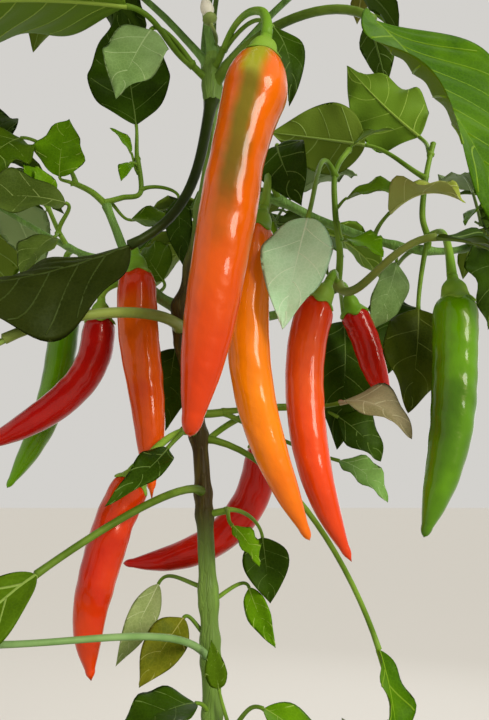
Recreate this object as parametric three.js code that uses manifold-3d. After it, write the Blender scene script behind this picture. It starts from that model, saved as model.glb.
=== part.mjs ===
// Chilli pepper plant in a clay pot, 0.8 m tall: a stem with boughs, leafy sprays and long hanging fruits.
// Millimetres, +Z up, origin on the flat underside of the pot. The plant is looked at along +Y.
import * as THREE from "three";
import { mergeVertices } from "three/addons/utils/BufferGeometryUtils.js";
import Module from "manifold-3d";

const wasm = await Module();
wasm.setup();

// Pot and soil
const POT_HEIGHT = 200;
const POT_TOP_RADIUS = 110;
const POT_BASE_RADIUS = 78;
const POT_WALL = 7;
const POT_FLOOR = 9;
const RIM_HEIGHT = 30;
const RIM_STEP = 5;
const POT_CHAMFER = 2;
const RIM_CHAMFER = 3;
const RIM_UNDERSIDE = 6;
const SOIL_LEVEL = 178;
const SOIL_DOME = 4;
const SOIL_DOME_RADII = [60, 26];
const SOIL_SLUMP = 3;
const SOIL_CLEAR = 0.6;
const POT_SIDES = 24;

// Clearances: between touching solids, and round the leaves that the seeded rule adds
const JOINT_GAP = 0.35;
const LEAF_CLEAR = 6.5;
const LIMB_CLEAR = 4.2;
const GRID = 12;
const SIMPLER = 0.05;

// Limbs
const STEM_SIDES = 10;
const BOUGH_SIDES = 7;
const TWIG_SIDES = 4;
const PLAIN_TWIG_SIDES = 3;
const STEM_STEP = 22;
const STEM_TAPER = 0.45;
const BOUGH_TAPER = 0.8;
const FLARE_HEIGHT = 26;
const FLARE_EXTRA = 3.2;

// Leaves: a folded lens, thin at its margins
const LEAF_STATIONS = [0.1, 0.3, 0.55, 0.82];
const PLAIN_LEAF_STATIONS = [0.26, 0.66];
const SMALL_LEAF = 45;
const LEAF_THICKNESS = 0.017;
const LEAF_THINNEST = 1;
const LEAF_SAMPLE = 6;
const STALK_SAMPLES = 9;
const LEAF_FOLD = 14;
const LEAF_BOW = 0.1;
const PETIOLE_STEPS = 3;
const SMALL_PETIOLE_STEPS = 2;
const SEEDED_PETIOLE_STEPS = 1;
const PETIOLE_RADIUS = 1.5;
const PETIOLE_TAPER = 0.3;
const PETIOLE_LIFT = 0.35;

// Fruits: radius along the length, as shares of the length and of the widest radius
const FRUIT_SHAPE = [
  [0, 0.76], [0.06, 0.96], [0.18, 1], [0.42, 0.96], [0.66, 0.86], [0.84, 0.64], [0.96, 0.32],
];
const PLAIN_FRUIT_SHAPE = [[0, 0.76], [0.1, 1], [0.45, 0.96], [0.8, 0.7], [0.95, 0.36]];
const FRUIT_SAMPLES = 20;
const FRUIT_SIDES = 8;
const PLAIN_FRUIT_SIDES = 6;
const FRUIT_STEPS = 50;
const PEDICEL_RADII = [1.3, 2];
const CALYX_LENGTH = 8;
const CALYX_NECK = 3.2;
const CALYX_FLARE = 0.6;

// The place from which the plant is seen, the tilt of that view, and how far it reaches to the side and up.
// Seeded leaves inside it stay behind what hangs there, so that the plant's gaps stay open.
const VIEW_FROM = [13, -285, 435];
const VIEW_RISE = 12;
const VIEW_HALF_WIDTH = 0.384;
const VIEW_HALF_HEIGHT = 0.562;
const BLADE_HIDES = 5.5;
const FRUIT_HIDES = 0.45;
const NEAREST = 20;
const VIEW_SHARE = 0.12;

const COLOURS = {
  clay: 0xb5633c, soil: 0x3a2b20, stem: 0x6f7f45, bough: 0x5f8a3a, leaf: 0x3f6d26,
};

const degrees = Math.PI / 180;
const point = (p) => new THREE.Vector3(p[0], p[1], p[2]);
const between = (range, share) => range[0] + (range[1] - range[0]) * share;

// A direction from its turn round +Z (0 is +X, 90 is +Y) and its rise above the level
function heading(turn, rise) {
  const flat = Math.cos(rise * degrees);
  return new THREE.Vector3(
    flat * Math.cos(turn * degrees), flat * Math.sin(turn * degrees), Math.sin(rise * degrees));
}

// Seeded numbers from 0 to 1
function seeded(seed) {
  let state = seed >>> 0;
  return () => {
    state = (state + 0x6d2b79f5) >>> 0;
    let mix = Math.imul(state ^ (state >>> 15), state | 1);
    mix = (mix + Math.imul(mix ^ (mix >>> 7), mix | 61)) ^ mix;
    return ((mix ^ (mix >>> 14)) >>> 0) / 4294967296;
  };
}

// A smooth path through a few points, sampled in even steps of its parameter
function throughPoints(points, count) {
  const last = points.length - 1;
  const at = (i) => points[Math.min(Math.max(i, 0), last)];
  const out = [];
  for (let k = 0; k <= count; k += 1) {
    const place = (k / count) * last;
    const i = Math.min(Math.floor(place), last - 1);
    const t = place - i;
    const [a, b, c, d] = [at(i - 1), at(i), at(i + 1), at(i + 2)];
    const sum = new THREE.Vector3();
    sum.addScaledVector(a, (-t + 2 * t * t - t * t * t) / 2);
    sum.addScaledVector(b, (2 - 5 * t * t + 3 * t * t * t) / 2);
    sum.addScaledVector(c, (t + 4 * t * t - 3 * t * t * t) / 2);
    sum.addScaledVector(d, (-t * t + t * t * t) / 2);
    out.push(sum);
  }
  return out;
}

// A path that leaves one point in a direction and reaches another in a direction
function bend(from, leave, to, arrive, count) {
  const reach = from.distanceTo(to) / 3;
  const first = from.clone().addScaledVector(leave, reach);
  const second = to.clone().addScaledVector(arrive, -reach);
  return steps(new THREE.CubicBezierCurve3(from, first, second, to), count);
}

// An arc from one point to another that passes through, or bows towards, a third
function arc(from, middle, to) {
  const control = middle.clone().multiplyScalar(2).addScaledVector(from, -0.5).addScaledVector(to, -0.5);
  return new THREE.QuadraticBezierCurve3(from, control, to);
}

// Points along a curve, in even steps of its parameter
function steps(curve, count) {
  return Array.from({ length: count + 1 }, (unused, k) => curve.getPoint(k / count));
}

// A closed solid from rings of points, one after another; a ring of one point is a tip
function loft(rings) {
  const corners = rings.flat();
  const starts = [];
  rings.reduce((sum, ring) => { starts.push(sum); return sum + ring.length; }, 0);
  const faces = [];
  const fan = (i, turned) => {
    for (let k = 1; k < rings[i].length - 1; k += 1) {
      const [b, c] = turned ? [k + 1, k] : [k, k + 1];
      faces.push(starts[i], starts[i] + b, starts[i] + c);
    }
  };
  fan(0, true);
  for (let i = 0; i + 1 < rings.length; i += 1) {
    const [near, far] = [rings[i].length, rings[i + 1].length];
    const sides = Math.max(near, far);
    for (let k = 0; k < sides; k += 1) {
      const a = starts[i] + (near > 1 ? k : 0);
      const b = starts[i] + (near > 1 ? (k + 1) % near : 0);
      const c = starts[i + 1] + (far > 1 ? (k + 1) % far : 0);
      const d = starts[i + 1] + (far > 1 ? k : 0);
      if (near > 1) faces.push(a, b, far > 1 ? c : d);
      if (far > 1) faces.push(a, c, d);
    }
  }
  fan(rings.length - 1, false);
  const mesh = new wasm.Mesh({
    numProp: 3,
    vertProperties: new Float32Array(corners.flatMap((p) => [p.x, p.y, p.z])),
    triVerts: new Uint32Array(faces),
  });
  return new wasm.Manifold(mesh);
}

// Directions along a path, and two directions across it that turn with it and never twist
function framesAlong(path, firstSide = null) {
  const frames = [];
  let side = firstSide?.clone() ?? null;
  path.forEach((p, i) => {
    const ahead = path[Math.min(i + 1, path.length - 1)];
    const behind = path[Math.max(i - 1, 0)];
    const along = ahead.clone().sub(behind).normalize();
    if (side === null) {
      side = new THREE.Vector3(0, 0, 1).cross(along);
      if (side.length() < 0.1) side.set(1, 0, 0);
    }
    side.addScaledVector(along, -side.dot(along)).normalize();
    frames.push({ along, side: side.clone(), up: along.clone().cross(side) });
  });
  return frames;
}

// A round tapering limb along a path; grow makes it fatter and longer, for cutting others clear of it
function limb(path, radiusAt, sides, grow = 0, tip = null) {
  const frames = framesAlong(path);
  const rings = path.map((p, i) => {
    const { along, side, up } = frames[i];
    const centre = p.clone();
    if (i === 0) centre.addScaledVector(along, -grow);
    if (i === path.length - 1) centre.addScaledVector(along, grow);
    const radius = radiusAt(i / (path.length - 1), i) + grow;
    return Array.from({ length: sides }, (unused, k) => {
      const angle = (k / sides) * 2 * Math.PI;
      return centre.clone()
        .addScaledVector(side, Math.cos(angle) * radius)
        .addScaledVector(up, Math.sin(angle) * radius);
    });
  });
  if (tip) rings.push([tip]);
  return loft(rings);
}

// Leaf outline: its half width, as a share of the widest, at a share of its length
function leafOutline(t) {
  return Math.sin(Math.PI * Math.pow(t, 0.8)) * (1.12 - 0.3 * t);
}

// A leaf blade from its base to its tip. face is where its upper side looks, bow lifts its middle,
// fold raises its margins over the midrib. It gives the midrib and the two directions across it.
function bladeShape(leaf) {
  const base = point(leaf.base);
  const tip = point(leaf.tip);
  const chord = tip.clone().sub(base);
  const length = chord.length();
  chord.normalize();
  const face = heading(leaf.face[0], leaf.face[1]);
  face.addScaledVector(chord, -face.dot(chord)).normalize();
  const across = chord.clone().cross(face);
  const middle = base.clone().add(tip).multiplyScalar(0.5)
    .addScaledVector(face, (leaf.bow ?? LEAF_BOW) * length)
    .addScaledVector(across, (leaf.sweep ?? 0) * length);
  const fold = (leaf.fold ?? LEAF_FOLD) * degrees;
  return { curve: arc(base, middle, tip), across, length, width: leaf.width, fold };
}

// A place on the blade: t along the midrib, s across it from -1 to 1
function bladePoint(shape, t, s) {
  const centre = shape.curve.getPoint(t);
  const along = shape.curve.getTangent(t);
  const across = shape.across.clone().addScaledVector(along, -shape.across.dot(along)).normalize();
  const normal = across.clone().cross(along);
  const reach = Math.abs(s) * leafOutline(t) * shape.width * 0.5;
  return {
    place: centre
      .addScaledVector(across, Math.sign(s) * reach * Math.cos(shape.fold))
      .addScaledVector(normal, reach * Math.sin(shape.fold)),
    normal,
    across,
  };
}

// A leaf as one solid: its stalk's four-sided rings run on into the blade's
function leafSolid(leaf, isSeeded) {
  const shape = bladeShape(leaf);
  const plain = isSeeded || shape.length < SMALL_LEAF;
  const small = plain ? SMALL_PETIOLE_STEPS : PETIOLE_STEPS;
  const count = isSeeded ? SEEDED_PETIOLE_STEPS : small;
  const half = Math.max(shape.length * LEAF_THICKNESS, LEAF_THINNEST) / 2;
  const blade = (plain ? PLAIN_LEAF_STATIONS : LEAF_STATIONS).map((t) => {
    const { place, normal } = bladePoint(shape, t, 0);
    return [
      bladePoint(shape, t, -1).place,
      place.clone().addScaledVector(normal, half),
      bladePoint(shape, t, 1).place,
      place.clone().addScaledVector(normal, -half),
    ];
  });
  const stalk = petiolePath(leaf, count);
  const radius = PETIOLE_RADIUS * (leaf.stalk ?? 1);
  const across = bladePoint(shape, 0, 0).across;
  const rings = framesAlong([...stalk].reverse(), across).reverse().map(({ along, side }, i) => {
    const up = along.clone().cross(side);
    const thick = radius * (1 - PETIOLE_TAPER * (i / count));
    return [side, up.clone().negate(), side.clone().negate(), up]
      .map((way) => stalk[i].clone().addScaledVector(way, -thick));
  });
  return loft([...rings, ...blade, [shape.curve.getPoint(1)]]);
}

// Points spread over a blade, for keeping others clear of it
function bladeSamples(leaf) {
  const shape = bladeShape(leaf);
  const rows = Math.max(Math.ceil(shape.length / LEAF_SAMPLE), 3);
  const columns = Math.max(Math.ceil(shape.width / 2 / LEAF_SAMPLE), 1);
  const out = [];
  for (let i = 1; i <= rows; i += 1) {
    for (let k = -columns; k <= columns; k += 1) {
      out.push(bladePoint(shape, i / rows, k / columns).place);
    }
  }
  return out;
}

// A leaf's stalk, from its place on a twig to the foot of its blade
function petiolePath(leaf, count) {
  const shape = bladeShape(leaf);
  const from = point(leaf.at);
  const base = shape.curve.getPoint(0);
  const arrive = shape.curve.getTangent(0);
  const lift = base.distanceTo(from) * PETIOLE_LIFT;
  const leave = leaf.leave
    ? heading(leaf.leave[0], leaf.leave[1])
    : base.clone().sub(from).add(new THREE.Vector3(0, 0, lift)).normalize();
  return bend(from, leave, base, arrive, count);
}

// A fruit hangs from its cap to its tip through a middle point, under a calyx on a stout stalk
function fruitAxis(fruit, count) {
  return steps(arc(point(fruit.cap), point(fruit.middle), point(fruit.tip)), count);
}

// A fruit as one solid: its stalk runs on through the calyx into the fruit
function fruitSolid(fruit, plain) {
  const axis = fruitAxis(fruit, FRUIT_STEPS);
  const radius = fruit.across / 2;
  const down = axis[1].clone().sub(axis[0]).normalize();
  const top = axis[0].clone().addScaledVector(down, -CALYX_LENGTH);
  const stalk = pedicelPath(fruit, top, down);
  const rings = stalk.map((p, i) => [p, between(PEDICEL_RADII, i / PETIOLE_STEPS)]);
  rings.push([axis[0].clone().addScaledVector(down, -CALYX_NECK), radius * CALYX_FLARE]);
  const outline = plain ? PLAIN_FRUIT_SHAPE : FRUIT_SHAPE;
  outline.forEach(([t, share]) => rings.push([axis[Math.round(t * FRUIT_STEPS)], share * radius]));
  const sides = plain ? PLAIN_FRUIT_SIDES : FRUIT_SIDES;
  return limb(rings.map(([p]) => p), (t, i) => rings[i][1], sides, 0, axis[FRUIT_STEPS]);
}

function pedicelPath(fruit, top, down) {
  return bend(point(fruit.at), heading(fruit.leave[0], fruit.leave[1]), top, down, PETIOLE_STEPS);
}

// What is already placed, in a grid of cells, each point with its owner, kind and clearance
const cells = new Map();
const cellOf = (p) => [p.x, p.y, p.z].map((v) => Math.floor(v / GRID));

function take(points, owner, kind, radius) {
  points.forEach((p) => {
    const key = cellOf(p).join();
    if (!cells.has(key)) cells.set(key, []);
    cells.get(key).push({ p, owner, kind, radius });
  });
}

function isClear(points, clearance) {
  return points.every((p) => {
    const [cx, cy, cz] = cellOf(p);
    for (let x = cx - 2; x <= cx + 2; x += 1) {
      for (let y = cy - 2; y <= cy + 2; y += 1) {
        for (let z = cz - 2; z <= cz + 2; z += 1) {
          const near = cells.get([x, y, z].join()) ?? [];
          if (near.some((other) => p.distanceTo(other.p) < clearance(other))) return false;
        }
      }
    }
    return true;
  });
}

// Where a point lies in the view: to the right, up, and how far ahead
function viewOf(p) {
  const from = point(VIEW_FROM);
  const ahead = heading(90, VIEW_RISE);
  const up = heading(90, VIEW_RISE + 90);
  const to = p.clone().sub(from);
  const depth = to.dot(ahead);
  return { right: to.x / depth, up: to.dot(up) / depth, depth };
}

const shown = [];

function show(points, radius) {
  points.forEach((p) => shown.push({ ...viewOf(p), radius }));
}

function staysHidden(points, share = VIEW_SHARE) {
  const open = points.filter((p) => {
    const seen = viewOf(p);
    if (seen.depth < NEAREST) return false;
    if (Math.abs(seen.right) > VIEW_HALF_WIDTH || Math.abs(seen.up) > VIEW_HALF_HEIGHT) return false;
    return !shown.some((front) => front.depth < seen.depth
      && Math.hypot(front.right - seen.right, front.up - seen.up) * front.depth < front.radius);
  });
  return open.length <= points.length * share;
}

// Stem and boughs: the points that each runs through, its radius at the foot and at the tip, its carrier
const LIMBS = {
  main_stem: {
    through: [[0, 0, SOIL_LEVEL + SOIL_DOME + JOINT_GAP], [2, 1, 260], [0, 0, 348], [-3, 0, 410],
      [-7, 3, 460], [-12, 2, 487], [-16, 0, 511], [-11, 0, 543], [-7, 0, 570], [-3, 0, 605],
      [-3, 0, 638], [-2, 1, 656]],
    foot: 5.2, tip: 2.3,
  },
  bough_left: {
    through: [[-15, 0, 519], [-28, 2, 527], [-41, 4, 544], [-49, 7, 562], [-54, 9, 574]],
    foot: 2.6, tip: 1.9, on: "main_stem",
  },
  bough_left_low: {
    through: [[-42, 4, 546], [-59, 7, 547], [-76, 12, 556], [-98, 26, 572], [-122, 40, 590]],
    foot: 1.9, tip: 1.3, on: "bough_left",
  },
  bough_right: {
    through: [[-7, 0, 568], [22, 3, 576], [50, 6, 565], [76, 4, 554], [98, 1, 548], [118, 12, 553],
      [136, 22, 562]],
    foot: 2.4, tip: 1.5, on: "main_stem",
  },
  bough_right_low: {
    through: [[-15, 0, 520], [18, 6, 517], [40, 6, 523], [56, 4, 531]],
    foot: 2.4, tip: 1.8, on: "main_stem",
  },
  bough_top_left: {
    through: [[-3, 0, 643], [-14, 5, 660], [-28, 10, 680], [-40, 14, 695]],
    foot: 2.1, tip: 1.6, on: "main_stem",
  },
  bough_top_right: {
    through: [[-3, 0, 637], [10, 6, 658], [26, 11, 682], [40, 15, 700]],
    foot: 2.1, tip: 1.6, on: "main_stem",
  },
  bough_top_front: {
    through: [[-2.5, 0.5, 650], [-6, -9, 668], [-4, -20, 686], [0, -30, 700]],
    foot: 1.9, tip: 1.5, on: "main_stem",
  },
  bough_back: {
    through: [[-11, 0, 540], [-8, 26, 546], [-2, 52, 558], [6, 76, 580]],
    foot: 2.3, tip: 1.7, on: "main_stem",
  },
  bough_top_back: {
    through: [[-3, 0, 628], [-8, 14, 658], [-7, 30, 706], [-2, 42, 752]],
    foot: 2.2, tip: 1.6, on: "main_stem",
  },
};

// Leaves and fruits that hang where the plant is seen, by spray. Each leaf leaves a twig at at, towards
// leave (turn, rise), and its blade runs from base to tip. Each fruit hangs from cap through middle to tip.
const SPRAYS = {
  spray_front: {
    on: "main_stem",
    twigs: [{ through: [[-3, 0, 640], [0, -5, 643], [3, -10, 647]], foot: 1.9, tip: 1.7 }],
    fruits: [
      { at: [3, -9, 646.5], leave: [-70, 30], cap: [20, -60, 606], middle: [6, -62, 530],
        tip: [-6, -60, 456], across: 20.6 },
    ],
    leaves: [
      { at: [3, -9, 646.5], leave: [-50, 20], base: [25.2, -42, 632.7], tip: [31.6, -41, 595.1], width: 14,
        face: [-80, 20], sweep: -0.07, stalk: 0.8 },
    ],
  },
  spray_middle: {
    on: "bough_right",
    twigs: [{ through: [[30, 5, 574.5], [28, 1, 577], [26, -3, 580]], foot: 1.7, tip: 1.5 }],
    fruits: [
      { at: [26.5, -2, 579.5], leave: [-110, 10], cap: [19, -36, 545], middle: [16, -38, 484],
        tip: [37, -36, 420], across: 17 },
    ],
    leaves: [
      { at: [26.5, -2, 579.5], leave: [-60, 40], base: [28, -14, 593], tip: [38, -21, 560], width: 26,
        face: [-120, 20], bow: 0.16 },
    ],
  },
  spray_top_left: {
    on: "main_stem",
    twigs: [{ through: [[-3, 0, 634], [-8, -4, 637], [-13, -8, 640]], foot: 1.9, tip: 1.7 }],
    leaves: [
      { at: [-12, -7.5, 639.6], leave: [205, 15], base: [-38, -42, 643], tip: [-142, -72, 608], width: 78,
        face: [0, 90], bow: 0.06, stalk: 1.1 },
      { at: [-12, -7.5, 639.6], leave: [240, 25], base: [-29, -30, 641], tip: [-42, -36, 602], width: 29,
        face: [-90, 5], bow: 0.06, fold: 8, stalk: 0.9 },
    ],
  },
  spray_big_left: {
    on: "main_stem",
    leaves: [
      { at: [-3, 0, 625], leave: [-110, -68], base: [-33, -40, 534], tip: [-118.6, -88, 500.9], width: 70,
        face: [-80, 50], bow: -0.07, fold: -22, stalk: 1.2 },
    ],
  },
  spray_big_right: {
    on: "main_stem",
    leaves: [
      { at: [-3, 0, 631], leave: [-30, 60], base: [62.8, -66, 616.3], tip: [100.3, -98, 501.4], width: 66,
        face: [-60, 28], bow: 0.05, fold: 16, stalk: 1.2 },
    ],
  },
  spray_left: {
    on: "bough_left",
    twigs: [
      { through: [[-54, 9, 574.4], [-62, 10, 582], [-72, 12, 588]], foot: 1.7, tip: 1.3 },
      { through: [[-55, 9, 576], [-47, 10, 579], [-38, 10, 582], [-40, 9, 600]], foot: 1.5, tip: 1.1 },
    ],
    leaves: [
      { at: [-40, 9, 599], leave: [170, 80], base: [-41, 8, 617], tip: [-50, -2, 676], width: 42,
        face: [-90, 20], bow: -0.06, stalk: 0.8 },
      { at: [-72, 12, 587], leave: [200, 60], base: [-77, 6, 588], tip: [-71, -4, 613], width: 26,
        face: [-95, 5], fold: 8, stalk: 0.7 },
      { at: [-71, 12, 588], leave: [120, 75], base: [-98, 8, 610], tip: [-114, -6, 578], width: 34,
        face: [-85, 15], bow: 0.12, fold: 8, stalk: 0.8 },
      { at: [-54, 10, 577], leave: [60, 30], base: [-44, 18, 571], tip: [-18, 24, 566], width: 22,
        face: [-90, 40], stalk: 0.7 },
      { at: [-39.3, 9.4, 592], leave: [150, 40], base: [-43, 8, 602], tip: [-53, 2, 612], width: 9,
        face: [-70, 40], stalk: 0.6 },
      { at: [-39.8, 9.2, 596], leave: [200, 30], base: [-43, 7, 596], tip: [-46, 1, 583], width: 8,
        face: [-90, 20], stalk: 0.6 },
      { at: [-38, 10, 583], leave: [10, 40], base: [-19, 8, 578], tip: [-15, 8, 541], width: 14,
        face: [-100, 5], stalk: 0.7 },
    ],
  },
  spray_left_low: {
    on: "bough_left_low",
    twigs: [
      { through: [[-72, 11, 553], [-76, 7, 560], [-81, 5, 571]], foot: 1.4, tip: 1 },
    ],
    leaves: [
      { at: [-76, 7, 559], leave: [-90, 40], base: [-70, -5, 569], tip: [-112, -20, 560], width: 30,
        face: [-95, 25], stalk: 0.8 },
      { at: [-76, 7, 559], leave: [250, -10], base: [-75, -3, 553], tip: [-85, -14, 530], width: 20,
        face: [-90, 50], stalk: 0.7 },
      { at: [-81, 5, 570], leave: [200, 70], base: [-85, 4, 576], tip: [-93, -2, 592], width: 12,
        face: [-60, 30], stalk: 0.6 },
      { at: [-81, 5, 570], leave: [120, 70], base: [-80, 4, 575], tip: [-86, -3, 589], width: 11,
        face: [-90, 30], stalk: 0.6 },
    ],
  },
  fruit_left_green: {
    on: "bough_left_low",
    fruits: [
      { at: [-66, 9, 550], leave: [100, 30], cap: [-77, 28, 545], middle: [-80, 29, 490],
        tip: [-98, 25, 440], across: 15 },
    ],
  },
  fruit_left_red: {
    on: "bough_left",
    fruits: [
      { at: [-33, 2, 533], leave: [200, 0], cap: [-53, 2, 517], middle: [-65, 0, 481],
        tip: [-101, -6, 456], across: 15 },
    ],
  },
  spray_left_fruit_near: {
    on: "bough_left",
    twigs: [{ through: [[-37, 3, 538], [-38, 0, 542], [-38, -3, 545]], foot: 1.6, tip: 1.5 }],
    fruits: [
      { at: [-38, -2.5, 544.6], leave: [-80, 10], cap: [-35, -11, 535], middle: [-30, -13, 488],
        tip: [-25, -14, 438], across: 17 },
    ],
  },
  leaf_left_inner: {
    on: "bough_left",
    leaves: [
      { at: [-28, 2, 527], leave: [80, 30], base: [-26, 12, 537], tip: [-38, 24, 558], width: 26,
        face: [-90, -20], stalk: 0.7 },
    ],
  },
  leaf_left_middle: {
    on: "main_stem",
    leaves: [
      { at: [-16, 0, 510], leave: [-92, 4], base: [-72, -62, 490], tip: [-136, -84, 410], width: 54,
        face: [0, 90], bow: 0.08, stalk: 1.2 },
    ],
  },
  leaf_left_behind: {
    on: "main_stem",
    leaves: [
      { at: [-15, 0, 503], leave: [120, 10], base: [-19, 9, 503], tip: [-22, 3, 464], width: 24,
        face: [-90, 0], stalk: 0.7 },
    ],
  },
  spray_right_inner: {
    on: "bough_right_low",
    twigs: [
      { through: [[56.3, 4, 531.3], [57, -2, 545], [55, -5, 565], [56, -3, 586], [64, 3, 601]],
        foot: 1.7, tip: 1.1 },
    ],
    leaves: [
      { at: [64, 3, 600], leave: [30, 50], base: [66, 4, 604], tip: [85, -3, 608], width: 15,
        face: [-90, 60], stalk: 0.6 },
      { at: [56, -3, 583], leave: [215, 60], base: [38, -46, 543], tip: [27, -52, 496], width: 28,
        face: [-100, 12], bow: 0.05, stalk: 0.9 },
      { at: [55, -4, 560], leave: [-60, 10], base: [58, -12, 548], tip: [72, -24, 535], width: 20,
        face: [-90, 50], stalk: 0.6 },
      { at: [55, -4, 566], leave: [-20, 30], base: [60, -8, 570], tip: [86, -22, 565], width: 20,
        face: [-90, 42], stalk: 0.6 },
      { at: [56, 3, 532], leave: [-48, -58], base: [88, -46, 535], tip: [124, -50, 508], width: 24,
        face: [-90, 60], bow: 0.16, stalk: 1.2 },
      { at: [57, 3, 533], leave: [80, 30], base: [64, 38, 524], tip: [58, 34, 458], width: 40,
        face: [-80, 10], stalk: 0.9 },
    ],
    fruits: [
      { at: [56, 3, 533], leave: [-110, 10], cap: [46, -19, 519], middle: [37, -20, 470],
        tip: [54, -22, 412], across: 16.5 },
      { at: [56, 3, 532], leave: [20, 20], cap: [64, 12, 524], middle: [71, 14, 503],
        tip: [80, 13, 477], across: 13.5 },
    ],
  },
  spray_right: {
    on: "bough_right",
    twigs: [
      { through: [[98, 1, 548], [98, -2, 553], [97, 1, 566], [101, 4, 588], [106, 6, 606]],
        foot: 1.7, tip: 1.1 },
    ],
    leaves: [
      { at: [101, 4, 586], leave: [150, 40], base: [75, 18, 612], tip: [27, 26, 624], width: 38,
        face: [90, 35], bow: 0.06, stalk: 0.9 },
      { at: [104, 5, 599], leave: [100, 60], base: [104, 22, 619], tip: [69, 30, 667], width: 42,
        face: [90, 15], bow: 0.06, stalk: 0.9 },
      { at: [98, -2, 553], leave: [-110, -30], base: [90, -8, 517], tip: [82, -12, 470], width: 34,
        face: [-80, 8], bow: 0.06, stalk: 0.9 },
    ],
    fruits: [
      { at: [98, -2, 553], leave: [-60, 20], cap: [99, -30, 517], middle: [95, -32, 472],
        tip: [80, -34, 421], across: 18 },
    ],
  },
  leaf_right_hanging: {
    on: "bough_right",
    leaves: [
      { at: [94, 2, 549.5], leave: [110, 10], base: [90, 42, 540], tip: [85, 38, 496], width: 30,
        face: [-80, 8], stalk: 0.8 },
    ],
  },
  leaf_right_outer: {
    on: "bough_right",
    leaves: [
      { at: [120, 13, 554], leave: [-30, 30], base: [132, 14, 558], tip: [127, 10, 512], width: 38,
        face: [-70, 20], bow: 0.12, stalk: 0.8 },
    ],
  },
  leaf_right_ridge: {
    on: "bough_right",
    leaves: [
      { at: [74, 4, 555], leave: [-80, 30], base: [78, -14, 560], tip: [106, -32, 556], width: 32,
        face: [-90, 65], bow: 0.2, fold: 22, stalk: 0.8 },
    ],
  },
  leaf_right_pale: {
    on: "bough_right",
    leaves: [
      { at: [84, 3, 551.5], leave: [90, 10], base: [88, 19, 549], tip: [73, 26, 514], width: 20,
        face: [-60, 10], stalk: 0.7 },
    ],
  },
  spray_low_right: {
    on: "main_stem",
    twigs: [{ through: [[-9, 3, 472], [-3, 5, 472], [4, 7, 473]], foot: 1.9, tip: 1.7 }],
    leaves: [
      { at: [3, 6.7, 473], leave: [10, 10], base: [54, -8, 475], tip: [80, -24, 458], width: 25,
        face: [-90, 55], bow: 0.2, stalk: 0.9 },
      { at: [3, 6.7, 473], leave: [30, -20], base: [57, 20, 452], tip: [77, 12, 433], width: 17,
        face: [-90, 50], bow: 0.16, stalk: 0.8 },
      { at: [3, 6.7, 473], leave: [50, 10], base: [58, 26, 473], tip: [78, 28, 452], width: 24,
        face: [-90, 40], stalk: 0.8 },
    ],
  },
  spray_low_left: {
    on: "main_stem",
    twigs: [{ through: [[-8, 3, 463], [-10, -3, 463], [-13, -10, 463]], foot: 1.8, tip: 1.6 }],
    leaves: [
      { at: [-12.5, -9, 463], leave: [-80, 0], base: [-17, -30, 454], tip: [-36, -52, 432], width: 12,
        face: [-60, 50], bow: 0.16, sweep: -0.1, stalk: 0.8 },
    ],
    fruits: [
      { at: [-12.5, -9, 463], leave: [-110, -10], cap: [-29, -28, 443.2], middle: [-41.7, -30, 410.2],
        tip: [-42.8, -30, 371], across: 15.4 },
    ],
  },
  spray_behind: {
    on: "main_stem",
    fruits: [
      { at: [-7, 3, 456], leave: [60, 40], cap: [22, 26, 462], middle: [4, 28, 420],
        tip: [-42, 24, 406], across: 16.5 },
    ],
  },
  spray_out_left: {
    on: "main_stem",
    leaves: [
      { at: [-5, 2, 437], leave: [-96, 16], base: [-54, -66, 411], tip: [-88.5, -100, 369.1], width: 32,
        face: [-70, 50], bow: 0.08, stalk: 1.2 },
    ],
  },
  spray_low_out_left: {
    on: "main_stem",
    leaves: [
      { at: [-1, 0, 370], leave: [-110, 40], base: [-66, -62, 389], tip: [-158, -60, 350], width: 56,
        face: [0, 90], bow: 0.1, stalk: 1.2 },
    ],
  },
  leaf_low_pale: {
    on: "main_stem",
    leaves: [
      { at: [-2, 0, 398], leave: [170, 10], base: [-25, 16, 398], tip: [-41, 8, 366], width: 13,
        face: [-70, 20], stalk: 0.7 },
    ],
  },
  leaf_low_spotted: {
    on: "main_stem",
    leaves: [
      { at: [-1, 0, 378], leave: [190, 30], base: [-12, -2, 387], tip: [-28, -12, 363], width: 22,
        face: [-80, 30], stalk: 0.7 },
    ],
  },
  leaf_foot_left: {
    on: "main_stem",
    leaves: [
      { at: [0, 0, 350], leave: [230, 30], base: [-6, -10, 357], tip: [-34, -30, 348], width: 24,
        face: [-90, 70], stalk: 0.7 },
    ],
  },
  spray_small_right: {
    on: "main_stem",
    twigs: [{ through: [[-4, 1, 428], [1, 0, 429], [6, -1, 430]], foot: 1.5, tip: 1.4 }],
    leaves: [
      { at: [5, -0.8, 430], leave: [30, 10], base: [21, 14, 418], tip: [24, 8, 391], width: 21,
        face: [-90, 15], stalk: 0.7 },
      { at: [5, -0.8, 430], leave: [-60, 0], base: [8, -10, 424], tip: [19, -13, 408], width: 11,
        face: [-60, 40], stalk: 0.7 },
    ],
  },
  leaf_low_narrow: {
    on: "main_stem",
    leaves: [
      { at: [-2, 0, 392], leave: [40, 20], base: [15, 12, 397], tip: [26, 4, 374], width: 11,
        face: [-110, 15], stalk: 0.7 },
    ],
  },
  spray_low_out_right: {
    on: "main_stem",
    leaves: [
      { at: [-6, 3, 461], leave: [14, -5], base: [63, -26, 380], tip: [63, -48, 338.8], width: 21,
        face: [-40, 30], bow: 0.06, fold: 24, stalk: 1 },
    ],
  },
  spray_foot: {
    on: "main_stem",
    twigs: [{ through: [[0, 0, 338], [4, -4, 342], [8, -8, 347]], foot: 1.5, tip: 1.4 }],
    leaves: [
      { at: [7.5, -7.5, 346.4], leave: [-30, 40], base: [20, -20, 358], tip: [42, -30, 340], width: 20,
        face: [-60, 70], stalk: 0.7 },
      { at: [7.5, -7.5, 346.4], leave: [200, 70], base: [3, -10, 362], tip: [0, -14, 381], width: 9,
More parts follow.
